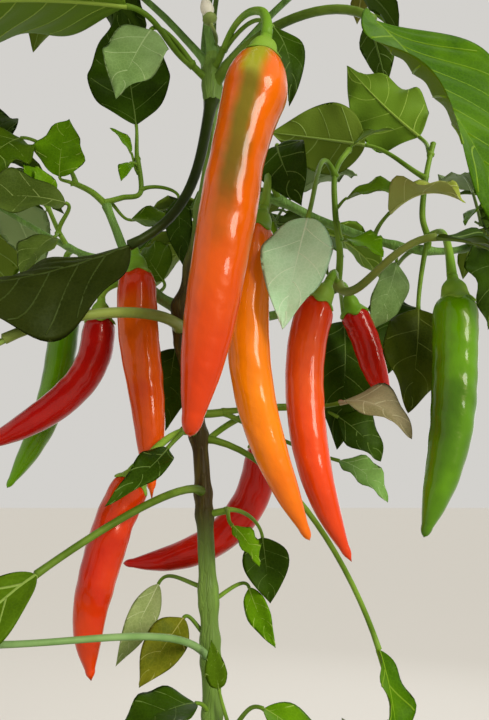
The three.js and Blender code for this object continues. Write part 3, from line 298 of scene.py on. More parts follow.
# Leaves and fruits that show
SPRAYS = {
    "spray_front": spray(
        a_twig(1.9, 1.7, (-3, 0, 640), (0, -5, 643), (3, -10, 647)),
        a_fruit("ripening", (3, -9, 646.5), (-70, 30), (20, -60, 606), (6, -62, 530), (-6, -60, 456), 20.6),
        a_leaf("dark", (3, -9, 646.5), (-50, 20), (25.2, -42, 632.7), (31.6, -41, 595.1), 14, (-80, 20),
               0.8, sweep=-0.07)),
    "spray_middle": spray(
        a_twig(1.7, 1.5, (30, 5, 574.5), (28, 1, 577), (26, -3, 580)),
        a_fruit("orange", (26.5, -2, 579.5), (-110, 10), (19, -36, 545), (16, -38, 484), (37, -36, 420),
                17),
        a_leaf("dark", (26.5, -2, 579.5), (-60, 40), (28, -14, 593), (38, -21, 560), 26, (-120, 20), 1,
               bow=0.16)),
    "spray_top_left": spray(
        a_twig(1.9, 1.7, (-3, 0, 634), (-8, -4, 637), (-13, -8, 640)),
        a_leaf("bright", (-12, -7.5, 639.6), (205, 15), (-38, -42, 643), (-142, -72, 608), 78, (0, 90), 1.1,
               bow=0.06),
        a_leaf("pale", (-12, -7.5, 639.6), (240, 25), (-29, -30, 641), (-42, -36, 602), 29, (-90, 5), 0.9,
               bow=0.06, fold=8)),
    # The big left leaf's tone deep is painted shade: its blade is coloured as dark as the shadow it hangs
    # in
    "spray_big_left": spray(
        a_leaf("deep", (-3, 0, 625), (-110, -68), (-33, -40, 534), (-118.6, -88, 500.9), 70, (-80, 50), 1.2,
               bow=-0.07, fold=-22, stout=1.55, slim=0.76, stalk_tone="dark")),
    "spray_big_right": spray(
        a_leaf("vivid", (-3, 0, 631), (-30, 60), (62.8, -66, 616.3), (100.3, -98, 501.4), 66, (-60, 28),
               1.2, bow=0.05, fold=16, stout=1.4, stalk_tone="leek")),
    "spray_left": spray(
        a_twig(1.7, 1.3, (-54, 9, 574.4), (-62, 10, 582), (-72, 12, 588)),
        a_twig(1.5, 1.1, (-55, 9, 576), (-47, 10, 579), (-38, 10, 582), (-40, 9, 600)),
        a_leaf("dark", (-40, 9, 599), (170, 80), (-41, 8, 617), (-50, -2, 676), 42, (-90, 20), 0.8,
               bow=-0.06),
        a_leaf("bright", (-72, 12, 587), (200, 60), (-77, 6, 588), (-71, -4, 613), 26, (-95, 5), 0.7,
               fold=8),
        a_leaf("mid", (-71, 12, 588), (120, 75), (-98, 8, 610), (-114, -6, 578), 34, (-85, 15), 0.8,
               bow=0.12, fold=8),
        a_leaf("mid", (-54, 10, 577), (60, 30), (-44, 18, 571), (-18, 24, 566), 22, (-90, 40), 0.7),
        a_leaf("bright", (-39.3, 9.4, 592), (150, 40), (-43, 8, 602), (-53, 2, 612), 9, (-70, 40), 0.6),
        a_leaf("bright", (-39.8, 9.2, 596), (200, 30), (-43, 7, 596), (-46, 1, 583), 8, (-90, 20), 0.6),
        a_leaf("dark", (-38, 10, 583), (10, 40), (-19, 8, 578), (-15, 8, 541), 14, (-100, 5), 0.7)),
    "spray_left_low": spray(
        a_twig(1.4, 1, (-72, 11, 553), (-76, 7, 560), (-81, 5, 571)),
        a_leaf("drab", (-76, 7, 559), (-90, 40), (-70, -5, 569), (-112, -20, 560), 30, (-95, 25), 0.8),
        a_leaf("drab", (-76, 7, 559), (250, -10), (-75, -3, 553), (-85, -14, 530), 20, (-90, 50), 0.7),
        a_leaf("bright", (-81, 5, 570), (200, 70), (-85, 4, 576), (-93, -2, 592), 12, (-60, 30), 0.6),
        a_leaf("bright", (-81, 5, 570), (120, 70), (-80, 4, 575), (-86, -3, 589), 11, (-90, 30), 0.6)),
    "fruit_left_green": spray(
        a_fruit("green", (-66, 9, 550), (100, 30), (-77, 28, 545), (-80, 29, 490), (-98, 25, 440), 15)),
    "fruit_left_red": spray(
        a_fruit("red", (-33, 2, 533), (200, 0), (-53, 2, 517), (-65, 0, 481), (-101, -6, 456), 15)),
    "spray_left_fruit_near": spray(
        a_twig(1.6, 1.5, (-37, 3, 538), (-38, 0, 542), (-38, -3, 545)),
        a_fruit("orange_red", (-38, -2.5, 544.6), (-80, 10), (-35, -11, 535), (-30, -13, 488),
                (-25, -14, 438), 17)),
    "leaf_left_inner": spray(
        a_leaf("mid", (-28, 2, 527), (80, 30), (-26, 12, 537), (-38, 24, 558), 26, (-90, -20), 0.7)),
    "leaf_left_middle": spray(
        a_leaf("mid", (-16, 0, 510), (-92, 4), (-72, -62, 490), (-136, -84, 410), 54, (0, 90), 1.2,
               bow=0.08, stout=1.45, stalk_tone="pale")),
    "leaf_left_behind": spray(
        a_leaf("dark", (-15, 0, 503), (120, 10), (-19, 9, 503), (-22, 3, 464), 24, (-90, 0), 0.7)),
    "spray_right_inner": spray(
        a_twig(1.7, 1.1, (56.3, 4, 531.3), (57, -2, 545), (55, -5, 565), (56, -3, 586), (64, 3, 601)),
        a_fruit("bright_red", (56, 3, 533), (-110, 10), (46, -19, 519), (37, -20, 470), (54, -22, 412),
                16.5),
        a_fruit("dark_red", (56, 3, 532), (20, 20), (64, 12, 524), (71, 14, 503), (80, 13, 477), 13.5),
        a_leaf("bright", (64, 3, 600), (30, 50), (66, 4, 604), (85, -3, 608), 15, (-90, 60), 0.6),
        a_leaf("grey", (56, -3, 583), (215, 60), (38, -46, 543), (27, -52, 496), 28, (-100, 12), 0.9,
               bow=0.05),
        a_leaf("bright", (55, -4, 560), (-60, 10), (58, -12, 548), (72, -24, 535), 20, (-90, 50), 0.6),
        a_leaf("mid", (55, -4, 566), (-20, 30), (60, -8, 570), (86, -22, 565), 20, (-90, 42), 0.6),
        a_leaf("dark", (56, 3, 532), (-48, -58), (88, -46, 535), (124, -50, 508), 24, (-90, 60), 1.2,
               bow=0.16, stout=1.2, stalk_tone="pale"),
        a_leaf("dark", (57, 3, 533), (80, 30), (64, 38, 524), (58, 34, 458), 40, (-80, 10), 0.9)),
    "spray_right": spray(
        a_twig(1.7, 1.1, (98, 1, 548), (98, -2, 553), (97, 1, 566), (101, 4, 588), (106, 6, 606)),
        a_fruit("green", (98, -2, 553), (-60, 20), (99, -30, 517), (95, -32, 472), (80, -34, 421), 18),
        a_leaf("mid", (101, 4, 586), (150, 40), (75, 18, 612), (27, 26, 624), 38, (90, 35), 0.9, bow=0.06),
        a_leaf("bright", (104, 5, 599), (100, 60), (104, 22, 619), (69, 30, 667), 42, (90, 15), 0.9,
               bow=0.06),
        a_leaf("shade", (98, -2, 553), (-110, -30), (90, -8, 517), (82, -12, 470), 34, (-80, 8), 0.9,
               bow=0.06)),
    "leaf_right_hanging": spray(
        a_leaf("dark", (94, 2, 549.5), (110, 10), (90, 42, 540), (85, 38, 496), 30, (-80, 8), 0.8)),
    "leaf_right_outer": spray(
        a_leaf("dark", (120, 13, 554), (-30, 30), (132, 14, 558), (127, 10, 512), 38, (-70, 20), 0.8,
               bow=0.12)),
    "leaf_right_ridge": spray(
        a_leaf("yellow", (74, 4, 555), (-80, 30), (78, -14, 560), (106, -32, 556), 32, (-90, 65), 0.8,
               bow=0.2, fold=22)),
    "leaf_right_pale": spray(
        a_leaf("pale", (84, 3, 551.5), (90, 10), (88, 19, 549), (73, 26, 514), 20, (-60, 10), 0.7)),
    "spray_low_right": spray(
        a_twig(1.9, 1.7, (-9, 3, 472), (-3, 5, 472), (4, 7, 473)),
        a_leaf("faded", (3, 6.7, 473), (10, 10), (54, -8, 475), (80, -24, 458), 25, (-90, 55), 0.9,
               bow=0.2),
        a_leaf("teal", (3, 6.7, 473), (30, -20), (57, 20, 452), (77, 12, 433), 17, (-90, 50), 0.8,
               bow=0.16),
        a_leaf("dark", (3, 6.7, 473), (50, 10), (58, 26, 473), (78, 28, 452), 24, (-90, 40), 0.8)),
    "spray_low_left": spray(
        a_twig(1.8, 1.6, (-8, 3, 463), (-10, -3, 463), (-13, -10, 463)),
        a_fruit("scarlet", (-12.5, -9, 463), (-110, -10), (-29, -28, 443.2), (-41.7, -30, 410.2),
                (-42.8, -30, 371), 15.4),
        a_leaf("dark", (-12.5, -9, 463), (-80, 0), (-17, -30, 454), (-36, -52, 432), 12, (-60, 50), 0.8,
               bow=0.16, sweep=-0.1)),
    "spray_behind": spray(
        a_fruit("dark_red", (-7, 3, 456), (60, 40), (22, 26, 462), (4, 28, 420), (-42, 24, 406), 16.5)),
    "spray_out_left": spray(
        a_leaf("mid", (-5, 2, 437), (-96, 16), (-54, -66, 411), (-88.5, -100, 369.1), 32, (-70, 50), 1.2,
               bow=0.08, slim=0.72, stalk_tone="leek")),
    "spray_low_out_left": spray(
        a_leaf("bright", (-1, 0, 370), (-110, 40), (-66, -62, 389), (-158, -60, 350), 56, (0, 90), 1.2,
               bow=0.1, stout=0.85, stalk_tone="teal")),
    "leaf_low_pale": spray(
        a_leaf("wan", (-2, 0, 398), (170, 10), (-25, 16, 398), (-41, 8, 366), 13, (-70, 20), 0.7)),
    "leaf_low_spotted": spray(
        a_leaf("olive", (-1, 0, 378), (190, 30), (-12, -2, 387), (-28, -12, 363), 22, (-80, 30), 0.7,
               slim=0.8)),
    "leaf_foot_left": spray(
        a_leaf("dark", (0, 0, 350), (230, 30), (-6, -10, 357), (-34, -30, 348), 24, (-90, 70), 0.7)),
    "spray_small_right": spray(
        a_twig(1.5, 1.4, (-4, 1, 428), (1, 0, 429), (6, -1, 430)),
        a_leaf("dark", (5, -0.8, 430), (30, 10), (21, 14, 418), (24, 8, 391), 21, (-90, 15), 0.7),
        a_leaf("bright", (5, -0.8, 430), (-60, 0), (8, -10, 424), (19, -13, 408), 11, (-60, 40), 0.7)),
    "leaf_low_narrow": spray(
        a_leaf("bright", (-2, 0, 392), (40, 20), (15, 12, 397), (26, 4, 374), 11, (-110, 15), 0.7)),
    "spray_low_out_right": spray(
        a_leaf("vivid", (-6, 3, 461), (14, -5), (63, -26, 380), (63, -48, 338.8), 21, (-40, 30), 1,
               bow=0.06, fold=24, slim=0.78)),
    "spray_foot": spray(
        a_twig(1.5, 1.4, (0, 0, 338), (4, -4, 342), (8, -8, 347)),
        a_leaf("bright", (7.5, -7.5, 346.4), (-30, 40), (20, -20, 358), (42, -30, 340), 20, (-60, 70), 0.7),
        a_leaf("mid", (7.5, -7.5, 346.4), (200, 70), (3, -10, 362), (0, -14, 381), 9, (-90, 10), 0.6)),
}

# Masses of the crown and low side shoots, grown by the seeded rule: name, the limb, seed, turn, rise,
# the first twig's length, how often it forks, and the place on the limb where that isn't its end
MASS_KEYS = ("on", "seed", "turn", "rise", "twig", "generations", "at")
MASSES = {name: dict(zip(MASS_KEYS, row)) for name, *row in (
    ("crown_back", "bough_top_back", 27, 100, 30, 24, 2, None),
    ("crown_top", "main_stem", 30, 40, 84, 50, 2, None),
    ("crown_front", "bough_top_front", 55, -84, 34, 32, 2, None),
    ("crown_left", "bough_top_left", 41, 168, 34, 34, 2, None),
    ("crown_right", "bough_top_right", 12, 12, 34, 34, 2, None),
    ("inner_back", "bough_back", 3, 74, 24, 20, 2, None),
    ("side_left", "bough_left_low", 50, 145, 26, 20, 2, None),
    ("side_right", "bough_right", 30, 35, 28, 18, 2, None),
    ("shoot_low_left", "main_stem", 23, 160, 26, 44, 1, (2, 1, 258)),
    ("shoot_low_right", "main_stem", 28, 8, 10, 42, 1, (1, 0, 288)),
    ("shoot_low_front", "main_stem", 32, -74, 30, 36, 1, (2, 0, 236)),
)}


# Directions and curves


def heading(turn, rise):
    """A direction from a turn about Z and a rise above level, in degrees."""
    turn, rise = math.radians(turn), math.radians(rise)
    return np.array([math.cos(rise) * math.cos(turn), math.cos(rise) * math.sin(turn), math.sin(rise)])


def unit(v):
    return v / max(np.linalg.norm(v), 1e-12)


def units(v):
    return v / np.maximum(np.linalg.norm(v, axis=-1, keepdims=True), 1e-12)


def between(span, share):
    return span[0] + (span[1] - span[0]) * share


def drawn(ranges, random):
    """A number from each of the ranges, drawn one after the other."""
    return {key: between(span, random()) for key, span in ranges.items()}


def around(sides):
    """Even angles round a ring."""
    return np.arange(sides) / sides * TAU


def ring(radius, angle, z):
    """Corners round Z, at a radius and a height that may differ from corner to corner."""
    x, y = radius * np.cos(angle), radius * np.sin(angle)
    return np.stack([x, y, np.broadcast_to(z, x.shape)], -1)


def seeded(seed):
    """Seeded numbers from 0 to 1, the same run of them as in the source of the solids."""
    state = seed & 0xFFFFFFFF

    def draw():
        nonlocal state
        state = (state + 0x6D2B79F5) & 0xFFFFFFFF
        mix = ((state ^ (state >> 15)) * (state | 1)) & 0xFFFFFFFF
        mix = (mix + (((mix ^ (mix >> 7)) * (mix | 61)) & 0xFFFFFFFF)) & 0xFFFFFFFF ^ mix
        return ((mix ^ (mix >> 14)) & 0xFFFFFFFF) / 4294967296

    return draw


def through_points(points, count):
    """A smooth path through a few points, in even steps of its parameter."""
    points = np.asarray(points, float)
    last = len(points) - 1
    place = np.arange(count + 1) / count * last
    i = np.minimum(np.floor(place).astype(int), last - 1)
    t = (place - i)[:, None]
    a, b, c, d = (points[np.clip(i + k, 0, last)] for k in (-1, 0, 1, 2))
    return (a * (-t + 2 * t**2 - t**3) + b * (2 - 5 * t**2 + 3 * t**3)
            + c * (t + 4 * t**2 - 3 * t**3) + d * (-t**2 + t**3)) / 2


def bend(start, leave, to, arrive, count):
    """A path that leaves one point in a direction and reaches another in a direction."""
    reach = np.linalg.norm(to - start) / 3
    first, second = start + leave * reach, to - arrive * reach
    t = (np.arange(count + 1) / count)[:, None]
    return (1 - t)**3 * start + 3 * (1 - t)**2 * t * first + 3 * (1 - t) * t**2 * second + t**3 * to


def arc(start, middle, to):
    """An arc from one point to another that bows towards a third: start, control, end."""
    return np.array([start, 2 * middle - 0.5 * start - 0.5 * to, to])


def arc_at(curve, t):
    t = np.atleast_1d(np.asarray(t, float))[:, None]
    return (1 - t)**2 * curve[0] + 2 * (1 - t) * t * curve[1] + t**2 * curve[2]


def arc_along(curve, t):
    t = np.atleast_1d(np.asarray(t, float))
    return units(arc_at(curve, np.minimum(t + 1e-4, 1)) - arc_at(curve, np.maximum(t - 1e-4, 0)))


def arc_steps(curve, count):
    return arc_at(curve, np.arange(count + 1) / count)


def leaf_outline(t):
    """A leaf's half width, as a share of the widest, at a share of its length."""
    return np.sin(np.pi * np.power(t, 0.8)) * (1.12 - 0.3 * t)


def blade_shape(leaf):
    """A blade's midrib, its direction across, length, width and fold."""
    base, tip = np.array(leaf["base"], float), np.array(leaf["tip"], float)
    length = np.linalg.norm(tip - base)
    chord = (tip - base) / length
    face = heading(*leaf["face"])
    face = unit(face - chord * face.dot(chord))
    across = np.cross(chord, face)
    middle = (base + tip) / 2 + face * leaf["bow"] * length + across * leaf["sweep"] * length
    return {"curve": arc(base, middle, tip), "across": across, "length": length, "width": leaf["width"],
            "fold": math.radians(leaf["fold"])}


def blade_frames(shape, t):
    """Midrib points with the direction across and the upper side's normal at each."""
    along = arc_along(shape["curve"], t)
    across = units(shape["across"] - along * (along @ shape["across"])[:, None])
    return arc_at(shape["curve"], t), across, np.cross(across, along)


def blade_samples(leaf):
    """Points spread over a blade, as the seeded rule tries them."""
    shape = blade_shape(leaf)
    rows = max(math.ceil(shape["length"] / LEAF_SAMPLE), 3)
    columns = max(math.ceil(shape["width"] / 2 / LEAF_SAMPLE), 1)
    down, side = np.arange(1, rows + 1) / rows, np.arange(-columns, columns + 1) / columns
    t, s = (grid.ravel() for grid in np.meshgrid(down, side, indexing="ij"))
    place, across, normal = blade_frames(shape, t)
    reach = (np.abs(s) * leaf_outline(t) * shape["width"] * 0.5)[:, None]
    return (place + across * np.sign(s)[:, None] * reach * math.cos(shape["fold"])
            + normal * reach * math.sin(shape["fold"]))


def petiole_path(leaf, count):
    curve = blade_shape(leaf)["curve"]
    start = np.array(leaf["at"], float)
    return bend(start, heading(*leaf["leave"]), curve[0], arc_along(curve, 0)[0], count)


def fruit_arc(fruit):
    return arc(*(np.array(fruit[key], float) for key in ("cap", "middle", "tip")))


# The seeded rule


class Room:
    """What is already placed: points, each with its owner and radius, and whether it is on a blade."""

    def __init__(self):
        self.points = np.zeros((MOST_POINTS, 3))
        self.radius = np.zeros(MOST_POINTS)
        self.blade = np.zeros(MOST_POINTS, bool)
        self.owner = np.zeros(MOST_POINTS, int)
        self.count = 0
        self.names = {}

    def owner_of(self, name):
        return self.names.setdefault(name, len(self.names))

    def take(self, points, owner, radius, blade=False):
        end = self.count + len(points)
        self.points[self.count:end] = points
        self.radius[self.count:end] = radius
        self.blade[self.count:end] = blade
        self.owner[self.count:end] = self.owner_of(owner)
        self.count = end

    def is_clear(self, points, clearance):
        """clearance turns a choice of placed points into how far each must be."""
        placed = self.points[:self.count]
        low, high = points.min(0) - FAR_APART, points.max(0) + FAR_APART
        near = np.flatnonzero(np.all((placed > low) & (placed < high), axis=1))
        if len(near) == 0:
            return True
        apart = np.linalg.norm(points[:, None] - placed[near][None], axis=2)
        return not np.any(apart < clearance(near)[None])

    def is_clear_of_others(self, points, owner, clear):
        own = self.owner_of(owner)
        return self.is_clear(points, lambda n: np.where(self.owner[n] == own, 0, self.radius[n] + clear))


room = Room()
AHEAD = heading(90, VIEW_RISE)
UP = heading(90, VIEW_RISE + 90)
shown = []


def view_of(points):
    """Where points lie in the view: to the right, up, and how far ahead."""
    to = points - np.array(VIEW_FROM, float)
    depth = to @ AHEAD
    return to[:, 0] / depth, (to @ UP) / depth, depth


def show(points, radius):
    right, up, depth = view_of(points)
    shown.append(np.stack([right, up, depth, np.full(len(right), float(radius))], axis=1))


def stays_hidden(points, share=VIEW_SHARE):
    """True when few enough of the points are in the open in the view."""
    right, up, depth = view_of(points)
    seen = (depth >= NEAREST) & (np.abs(right) <= VIEW_HALF_WIDTH) & (np.abs(up) <= VIEW_HALF_HEIGHT)
    if not seen.any():
        return True
    front = np.concatenate(shown)
    aside = np.hypot(front[None, :, 0] - right[seen][:, None], front[None, :, 1] - up[seen][:, None])
    covered = (front[None, :, 2] < depth[seen][:, None]) & (aside * front[None, :, 2] < front[None, :, 3])
    return np.count_nonzero(~covered.any(axis=1)) <= len(points) * share


def seeded_leaf(random, at, turn, scale):
    """One candidate leaf on a twig; its numbers are all drawn before it is tried."""
    draw = drawn(LEAF_RANGES, random)
    long = draw["long"] * scale
    base = at + heading(turn, draw["lean"]) * (long * draw["stalk"])
    tip = base + heading(turn + draw["aside"], draw["lean"] - draw["droop"]) * long
    leave, face = (turn, draw["lean"] + STALK_RISE), (turn, draw["face"])
    return a_leaf(None, at, leave, base, tip, long * draw["wide"], face, 1, bow=draw["bow"], size="crown")


def try_leaf(mass, leaf, blade_clear=LEAF_CLEAR, limb_clear=LIMB_CLEAR):
    """Takes a leaf into its mass when there is room for it and the view stays as it is."""
    samples, stalk = blade_samples(leaf), petiole_path(leaf, STALK_SAMPLES)
    name = mass["name"]

    def clearance(n):
        return room.radius[n] + np.where(room.blade[n], blade_clear, limb_clear)

    if not room.is_clear(samples, clearance) or not room.is_clear_of_others(stalk, name, limb_clear):
        return False
    if not stays_hidden(np.concatenate([samples, stalk])) or (samples[:, 2] < LOWEST).any():
        return False
    mass["leaves"].append(leaf)
    room.take(samples, name, 0, True)
    room.take(stalk, name, PETIOLE_RADIUS)
    return True


def try_fruit(mass, random, at, turn):
    long, across, out, swing = drawn(FRUIT_RANGES, random).values()
    cap = at + heading(turn, 0) * out - np.array([0, 0, CAP_DROP])
    tip = cap + np.array([swing, swing, -long])
    middle = (cap + tip) / 2 + heading(turn, 0) * FRUIT_BOW
    fruit = a_fruit(None, at, (turn, PEDICEL_RISE), cap, middle, tip, across)
    axis = arc_steps(fruit_arc(fruit), FRUIT_SAMPLES)
    sides = [axis + np.array([sign * across / 2, 0, 0]) for sign in (-1, 1)]
    if not room.is_clear(axis, lambda n: room.radius[n] + across / 2 + LIMB_CLEAR):
        return
    if not stays_hidden(np.concatenate(sides), 0) or tip[2] < LOWEST:
        return
    mass["fruits"].append(fruit)
    room.take(axis, mass["name"], across / 2)


def grow_twig(mass, random, start, turn, rise, length, generation):
    """The seeded rule: a twig bears leaves on stalks, perhaps a fruit, and forks in two."""
    curl = between(TWIG_CURL, random())
    to = start + heading(turn, rise) * length
    curve = arc(start, (start + to) / 2 + heading(turn + 90, 0) * curl, to)
    samples = arc_steps(curve, TWIG_SAMPLES)
    radius = TWIG_RADIUS * TWIG_THINNER**generation
    if generation > 0:
        if not room.is_clear_of_others(samples[1:], mass["name"], LIMB_CLEAR) or not stays_hidden(samples):
            return
        room.take(samples, mass["name"], radius)
    mass["twigs"].append({"curve": curve, "foot": radius, "tip": radius * TWIG_THINNER})
    scale = LEAF_SMALLER**generation
    at_end = generation == mass["generations"]
    most = len(mass["leaves"]) + (LEAVES_AT_END if at_end else LEAVES_AT_FORK)
    first = 360 * random()
    for k in range(LEAF_TRIES):
        at = arc_at(curve, 1 - LEAF_REACH * k / LEAF_TRIES)[0]
        leaf = seeded_leaf(random, at, first + GOLDEN_TURN * k, scale)
        if len(mass["leaves"]) < most:
            try_leaf(mass, leaf)
    if random() < FRUIT_CHANCE:
        try_fruit(mass, random, to, first + FRUIT_TURN)
    if at_end:
        return
    tilt = between(FORK_TILT, random())
    for sign in (-1, 1):
        spread = FORK_SPREAD * between(FORK_VARIES, random())
        grow_twig(mass, random, to, turn + sign * spread, rise * TWIG_LEAN + sign * tilt,
                  length * TWIG_SHRINK, generation + 1)


def place_limbs():
    for name, row in LIMBS.items():
        points = np.array(row["through"], float)
        long = np.linalg.norm(np.diff(points, axis=0), axis=1).sum()
        row["path"] = through_points(points, max(4, math.floor(long / STEM_STEP + 0.5)))
        fine = through_points(points, len(row["path"]) * 4)
        room.take(fine, name, row["foot"])
        show(fine, row["foot"])


def place_sprays():
    for name, row in SPRAYS.items():
        for twig in row["twigs"]:
            path = through_points(twig["through"], (len(twig["through"]) - 1) * 3)
            room.take(path, name, twig["foot"])
        for leaf in row["leaves"]:
            room.take(blade_samples(leaf), name, 0, True)
            room.take(petiole_path(leaf, STALK_SAMPLES), name, PETIOLE_RADIUS)
            show(blade_samples(leaf), BLADE_HIDES)
        for fruit in row["fruits"]:
            axis = arc_steps(fruit_arc(fruit), FRUIT_SAMPLES)
            room.take(axis, name, fruit["across"] / 2)
            show(axis, fruit["across"] * FRUIT_HIDES)


def grow_masses():
    """Room for every mass's first twig is taken before any of them grows."""
    for name, mass in MASSES.items():
        path = LIMBS[mass["on"]]["path"]
        along = unit(path[-1] - path[-2])
        mass["from"] = np.array(mass["at"], float) if mass["at"] else path[-1] + along * JOINT_GAP
        to = mass["from"] + heading(mass["turn"], mass["rise"]) * mass["twig"]
        steps = mass["from"] + (to - mass["from"]) * np.linspace(0, 1, TWIG_SAMPLES + 1)[:, None]
        room.take(steps, name, TWIG_RADIUS)
        mass.update(name=name, twigs=[], leaves=[], fruits=[], flowers=[])
    for mass in MASSES.values():
        grow_twig(mass, seeded(mass["seed"]), mass["from"], mass["turn"], mass["rise"], mass["twig"], 0)


# Finer growth


def mass_reach(mass):
    """The lowest and highest corner of a mass's leaves and twigs, with a small margin."""
    points = [blade_samples(leaf) for leaf in mass["leaves"]]
    points = np.concatenate(points + [arc_steps(twig["curve"], 3) for twig in mass["twigs"]])
    return points.min(0) - REACH_MARGIN, points.max(0) + REACH_MARGIN


def try_fine_leaf(mass, leaf, reach):
    """A finer leaf keeps to the mass's own reach, clear of others and out of the view's open parts."""
    samples = blade_samples(leaf)
    if (samples < reach[0]).any() or (samples > reach[1]).any():
        return False
    return try_leaf(mass, leaf, FINE_CLEAR, FINE_LIMB_CLEAR)


def grow_fine_twig(mass, random, parent, reach):
    """One short side twig with smaller leaves and perhaps a flower, if there is room for it."""
    place, turn, rise, long, curl, bloom, scale = drawn(FINE_RANGES, random).values()
    at = arc_at(parent["curve"], place)[0]
    to = at + heading(turn, rise) * long
    curve = arc(at, (at + to) / 2 + heading(turn + 90, 0) * curl, to)
    samples = arc_steps(curve, TWIG_SAMPLES)
    if not room.is_clear_of_others(samples[2:], mass["name"], FINE_TWIG_CLEAR) or not stays_hidden(samples):
        return
    found = 0
    for k in range(FINE_TRIES):
        foot = arc_at(curve, 1 - FINE_REACH * k / FINE_TRIES)[0]
        leaf = seeded_leaf(random, foot, turn + GOLDEN_TURN * k, scale * between(FINE_SCALE, random()))
        leaf["size"] = "fine"
        if found < FINE_LEAVES and try_fine_leaf(mass, leaf, reach):
            found += 1
    if found == 0:
        return
    room.take(samples, mass["name"], FINE_RADIUS)
    mass["twigs"].append({"curve": curve, "foot": FINE_FOOT, "tip": FINE_TIP})
    if bloom < FLOWER_CHANCE:
        mass["flowers"].append({"at": to, "turn": turn, "open": random()})


def grow_fine(mass, random):
    """The rule carried on: short side twigs with smaller leaves, and here and there a flower."""
    reach = mass_reach(mass)
    for twig in list(mass["twigs"]):
        for k in range(FINE_TWIGS):
            grow_fine_twig(mass, random, twig, reach)


# Meshes


def placed(name, data):
    """A new object in the scene."""
    made = bpy.data.objects.new(name, data)
    bpy.context.scene.collection.objects.link(made)
    return made


class Shape:
    """Corners and faces gathered from many forms, with a number for each face's material."""

    def __init__(self):
        self.corners, self.quads, self.tris, self.quad_looks, self.tri_looks = [], [], [], [], []
        self.count = 0

    def add(self, *forms):
        for corners, quads, tris, quad_looks, tri_looks in forms:
            self.corners.append(corners)
            self.quads.append(quads + self.count)
            self.tris.append(tris + self.count)
            self.quad_looks.append(quad_looks)
            self.tri_looks.append(tri_looks)
            self.count += len(corners)

    def made(self, name, materials, slot, *nodes):
        """The piece: one mesh in metres that rides on the plant and stands for its CAD nodes."""
        quads, tris = np.concatenate(self.quads), np.concatenate(self.tris)
        mesh = bpy.data.meshes.new(name)
        mesh.vertices.add(self.count)
        mesh.vertices.foreach_set("co", (np.concatenate(self.corners) * MM).astype(np.float32).ravel())
        mesh.loops.add(quads.size + tris.size)
        around_faces = np.concatenate([quads.ravel(), tris.ravel()])
        mesh.loops.foreach_set("vertex_index", around_faces.astype(np.int32))
        mesh.polygons.add(len(quads) + len(tris))
        starts = np.concatenate([np.arange(len(quads)) * 4, quads.size + np.arange(len(tris)) * 3])
        mesh.polygons.foreach_set("loop_start", starts.astype(np.int32))
        looks = np.concatenate(self.quad_looks + self.tri_looks)
        mesh.polygons.foreach_set("material_index", looks.astype(np.int32))
        mesh.polygons.foreach_set("use_smooth", np.ones(len(looks), bool))
        for material in materials:
            mesh.materials.append(material)
        mesh.update(calc_edges=True)
        mesh.validate()
        piece = placed(name, mesh)
        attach(piece, "root")
        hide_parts(*nodes)


def loft(rings, start, end, looks=0):
    """A closed form from rings of corners with a pole at each end, its faces turned outwards."""
    rings = np.asarray(rings)
    n, m = rings.shape[:2]
    corners = np.concatenate([rings.reshape(-1, 3), [start], [end]])
    i, k = np.meshgrid(np.arange(n - 1), np.arange(m), indexing="ij")
    a, b = i * m + k, i * m + (k + 1) % m
    quads = np.stack([a, b, b + m, a + m], -1).reshape(-1, 4)
    k = np.arange(m)
    first = np.stack([np.full(m, n * m), (k + 1) % m, k], -1)
    last = np.stack([np.full(m, n * m + 1), (n - 1) * m + k, (n - 1) * m + (k + 1) % m], -1)
    tris = np.concatenate([first, last])
    halves = np.concatenate([quads[:, :3], quads[:, [0, 2, 3]], tris])
    centred = corners - corners.mean(0)
    one, two, three = (centred[halves[:, i]] for i in range(3))
    if np.einsum("ij,ij->", one, np.cross(two, three)) < 0:
        quads, tris = quads[:, ::-1], tris[:, ::-1]
    looks = np.broadcast_to(np.asarray(looks), (m,))
    return corners, quads, tris, np.tile(looks, n - 1), np.tile(looks, 2)


def frames_along(path):
    """At each point of a path: the way ahead and two directions across it that don't spin."""
    along = units(np.concatenate([path[1:], path[-1:]]) - np.concatenate([path[:1], path[:-1]]))
    side = np.cross((0, 0, 1), along[0])
    if np.linalg.norm(side) < 0.1:
        side = np.array([1.0, 0, 0])
    sides = []
    for way in along:
        side = unit(side - way * side.dot(way))
        sides.append(side)
    sides = np.array(sides)
    return along, sides, np.cross(along, sides)


def spokes(side, up, angle):
    """Directions across a path, at each of its points and each angle round it."""
    return side[:, None] * np.cos(angle)[None, :, None] + up[:, None] * np.sin(angle)[None, :, None]


def tube(path, radii, sides, looks=0, blunt=0.5):
    """A closed round form along a path. radii has one number for each ring, or one for each corner."""
    along, side, up = frames_along(path)
    radii = np.broadcast_to(np.asarray(radii, float).reshape(len(path), -1), (len(path), sides))
    rings = path[:, None] + spokes(side, up, around(sides)) * radii[..., None]
    start = path[0] - along[0] * radii[0].mean() * blunt
    end = path[-1] + along[-1] * radii[-1].mean() * blunt
    return loft(rings, start, end, looks)


def smooth_table(table, t):
    """Values between the rows of a table of (place, value), eased through each row."""
    x, y = np.array(table, float).T
    slope = np.gradient(y, x)
    i = np.clip(np.searchsorted(x, t, side="right") - 1, 0, len(x) - 2)
    step = x[i + 1] - x[i]
    u = (t - x[i]) / step
    return (y[i] * (2 * u**3 - 3 * u**2 + 1) + step * slope[i] * (u**3 - 2 * u**2 + u)
            + y[i + 1] * (3 * u**2 - 2 * u**3) + step * slope[i + 1] * (u**3 - u**2))


def ripple(angle, along, seed, waves, whole_turns, runs):
    """A smooth random relief from -1 to 1 over a tube: whole waves round it, others along it."""
    random = seeded(seed)
    out = 0
    for k in range(waves):
        turns = round(between(whole_turns, random()))
        run = between(runs, random())
        out = out + np.sin(turns * angle + run * along * TAU + TAU * random()) * between((0.5, 1), random())
    return out / (waves * 0.6)


# Leaves


